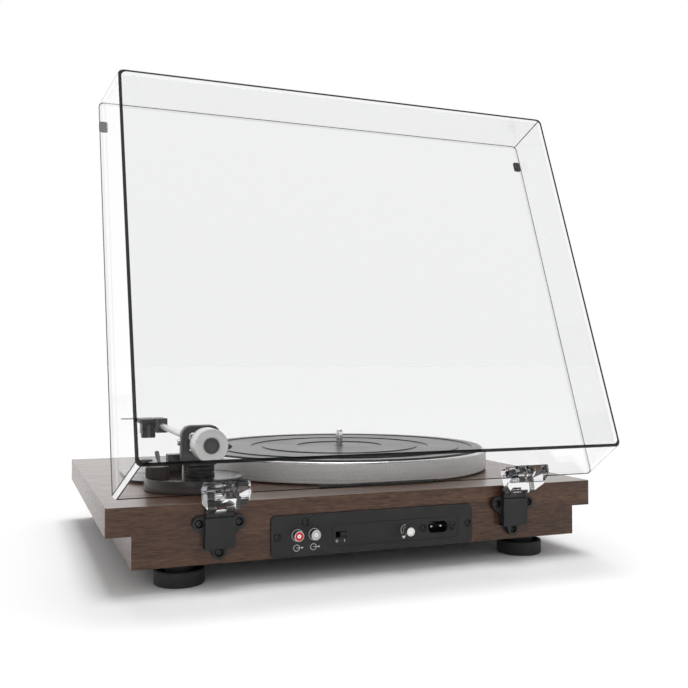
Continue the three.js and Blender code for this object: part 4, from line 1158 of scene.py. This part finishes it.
def anti_skate():
    low, high, middle, outer = round_node("anti_skate_dial")
    outline = ribbed((middle.x, middle.y), outer, 30, 0.6, 1)
    crown = upright(disc(8.9, 0, 0.9), middle, high.z - 0.9)
    dish = upright([(0, 0), (7.2, 0), (7.6, 2), (0, 2)], middle, high.z - 0.5)
    piece("skate_dial", prism(outline, low.z, high.z - 0.9), DARK_PLASTIC, "dial",
          ["anti_skate_dial"], bevel=0.18, added=[crown], cutters=[dish])
    rim = [(7.75, -0.3), (8.8, -0.3), (8.8, 0.05), (8.4, 0.2), (8.0, 0.2), (7.75, 0.0), (7.75, -0.3)]
    piece("skate_dial_rim", upright(rim, middle, high.z - 0.2), BRIGHT, "dial")
    seat = Matrix.Translation((middle.x, middle.y, high.z - 0.52))
    ticks = [turned(block((-0.15, 5.6, 0), (0.15, 6.8, PRINT)), seat @ Matrix.Rotation(i * 0.45, 4, "Z"))
             for i in range(9)]
    piece("skate_dial_marks", joined(*ticks), INK, "dial")


def lift():
    low, high = node_box("lift_platform")
    centre = (ARM_PIVOT.x, ARM_PIVOT.y)
    start, end = 1.43 * math.pi - 0.42, 1.5 * math.pi + 0.12
    rail = prism(arc(centre, 31, start, end, 24) + arc(centre, 26, end, start, 24), high.z - 2, high.z)
    stem = upright(disc(2.4, low.z, high.z - 1), LIFT_STEM, 0, 32)
    piece("lift_rail", rail, RUBBER, "lift", ["lift_platform"], bevel=0.5, segments=3,
          added=[stem])


def lever():
    pivot = joint_point("lever_tilt")
    grip = [(0, 0), (1.4, 0), (1.4, 13), (1.9, 15), (2.0, 22.5), (1.6, 23.3), (0.9, 23.5), (0, 23.5)]
    lean = Matrix.Rotation(math.radians(-30), 4, "X") @ Matrix.Rotation(QUARTER, 4, "X")
    rod_mesh = turned(lathe(grip, 32), Matrix.Translation(pivot) @ lean)
    boss = crossbar(2.6, pivot, pivot.x - 2, pivot.x + 2, 32)
    axle = crossbar(1.2, pivot, pivot.x - 7.5, pivot.x + 1.5)
    piece("cue_handle", boss, DARK_PLASTIC, "lever", ["cue_lever"], bevel=0.3,
          added=[axle, rod_mesh])


def rest():
    low, high = node_box("arm_rest")
    seat = ARM_PIVOT.z - TUBE - 1
    hinge = joint_point("clip_swing")
    stand = block((low.x, low.y, low.z), (high.x, high.y, seat))
    cheek = block((hinge.x - 1.3, low.y, seat - 1), (hinge.x + 1.3, high.y, high.z))
    foot = block((low.x + 2.5, low.y - 1, low.z + 5), (high.x - 2.5, high.y + 1, seat - 6))
    bore = rear_facing([(0, -9), (1.1, -9), (1.1, 9), (0, 9)], hinge, 20)
    piece("arm_cradle", stand, DARK_PLASTIC, "base", ["arm_rest"], bevel=0.5, segments=3,
          added=[cheek], cutters=[foot, bore])
    refine("rest_clip", DARK_PLASTIC, 0.35, 3)


# ---- controls -----------------------------------------------------------------------------
def controls():
    low, high, middle, outer = round_node("speed_knob")
    base = TOP + 0.3
    profile = [(0, low.z), (3, low.z), (3, base), (outer - 0.3, base), (outer, base + 0.3),
               (outer, high.z - 1.2), (outer - 0.3, high.z - 0.5), (outer - 1.1, high.z), (0, high.z)]
    flutes = [moved(rod(0.8, base - 1, high.z - 1.6, 12), x, y, 0)
              for x, y in round_outline(outer + 0.35, 32, (middle.x, middle.y))]
    line = block((middle.x - 0.6, low.y - 1, high.z - 0.5), (middle.x + 0.6, middle.y, high.z + 1))
    piece("speed_dial", upright(profile, middle, 0, 96), BRIGHT, "knob",
          ["speed_knob"], cutters=[joined(*flutes), line])
    marks = []
    for angle in (-QUARTER, 0):
        spot = (middle.x + 18 * math.cos(angle), middle.y + 18 * math.sin(angle))
        marks.append(moved(rod(0.9, -0.02, PRINT, 24), spot[0], spot[1], TOP))
    piece("speed_marks", joined(*marks), INK, "base")
    low, high, middle, outer = round_node("start_button")
    rise = high.z - TOP - 2.2
    profile = [(0, low.z), (2.5, low.z), (2.5, TOP + rise), (outer - 0.2, TOP + rise),
               (outer, TOP + rise + 0.2), (outer, high.z - 0.7), (outer - 0.5, high.z - 0.1),
               (outer - 1.2, high.z), (outer - 2.2, high.z - 0.25), (0, high.z - 0.3)]
    piece("push_button", upright(profile, middle, 0, 64), LACQUER, "button",
          ["start_button"])


# ---- the studio ---------------------------------------------------------------------------
def studio_world():
    """White to the camera and through clear plastic, and a bright side and a dim side in reflections."""
    world = bpy.data.worlds.new("studio")
    world.use_nodes = True
    tree = world.node_tree
    tree.nodes.clear()
    new, link = tree.nodes.new, tree.links.new

    def mix(factor, first, second):
        mixed = new("ShaderNodeMixShader")
        for socket, source in zip(mixed.inputs, (factor, first, second)):
            link(source, socket)
        return mixed.outputs[0]

    path = new("ShaderNodeLightPath").outputs
    direction = new("ShaderNodeSeparateXYZ")
    link(new("ShaderNodeTexCoord").outputs["Generated"], direction.inputs[0])
    spread = new("ShaderNodeMapRange")
    for name, value in (("From Min", -1), ("From Max", 1), ("To Min", 1.3), ("To Max", 0.2)):
        spread.inputs[name].default_value = value
    link(direction.outputs["Y"], spread.inputs["Value"])
    seen = new("ShaderNodeBackground")
    seen.inputs["Color"].default_value = (1, 1, 1, 1)
    reflected = new("ShaderNodeBackground")
    link(spread.outputs["Result"], reflected.inputs["Strength"])
    lit = new("ShaderNodeBackground")
    lit.inputs["Strength"].default_value = 0.55
    for shader in (reflected, lit):
        shader.inputs["Color"].default_value = (1, 1, 1, 1)
    straight = new("ShaderNodeMath")
    straight.operation = "MAXIMUM"
    link(path["Is Camera Ray"], straight.inputs[0])
    link(path["Is Transmission Ray"], straight.inputs[1])
    around = mix(path["Is Glossy Ray"], lit.outputs[0], reflected.outputs[0])
    final = mix(straight.outputs[0], around, seen.outputs[0])
    link(final, new("ShaderNodeOutputWorld").inputs[0])
    bpy.context.scene.world = world


def lamp(name, kind, direction, place=(0, 0, 0), **settings):
    """A light that shines along a direction."""
    data = bpy.data.lights.new(name, kind)
    for setting, value in settings.items():
        setattr(data, setting, value)
    light = bpy.data.objects.new(name, data)
    light.location = place
    light.rotation_euler = Vector(direction).to_track_quat("-Z", "Y").to_euler()
    bpy.context.scene.collection.objects.link(light)


def floor():
    paint = Paint("white_floor", (0.93, 0.93, 0.93), 0.9, Specular_IOR_Level=0.1)
    mesh = bpy.data.meshes.new("floor")
    reach = 60
    corners = [(-reach, -reach, 0), (reach, -reach, 0), (reach, reach, 0), (-reach, reach, 0)]
    mesh.from_pydata(corners, [], [(0, 1, 2, 3)])
    obj = bpy.data.objects.new("floor", mesh)
    mesh.materials.append(paint.material)
    bpy.context.scene.collection.objects.link(obj)


def camera():
    data = bpy.data.cameras.new("camera")
    data.lens, data.sensor_width = 45.02, 36
    obj = bpy.data.objects.new("camera", data)
    yaw, pitch = math.radians(21.34), math.radians(1.355)
    forward = Vector((-math.sin(yaw) * math.cos(pitch), -math.cos(yaw) * math.cos(pitch), math.sin(pitch)))
    obj.location = TO_FRAME @ Vector((275.8, 812.2, 167.6))
    obj.rotation_euler = forward.to_track_quat("-Z", "Y").to_euler()
    bpy.context.scene.collection.objects.link(obj)
    bpy.context.scene.camera = obj


for build in (plinth, feet, inside, platter, platter_mat, spindle, rear_panel, sockets, switch,
              ground_terminal, inlet, printed_marks, panel_screws, dust_cover, cover_trim, tonearm_base,
              arm_pillar, yoke, arm, headshell, cartridge, counterweight, anti_skate, lift, lever, rest,
              controls):
    build()
for side in ("right", "left"):
    hinge_holder(side)
    hinge_bracket(side)

studio_world()
floor()
camera()
lamp("skylight", "SUN", (0.08, 0.12, -0.97), energy=1.75, angle=math.radians(30))
lamp("fill", "AREA", (-0.9, -2.4, -1.05), (0.9, 2.4, 1.2), energy=9, shape="RECTANGLE", size=1.6, size_y=1.6)
bpy.context.scene.view_settings.view_transform = "Standard"
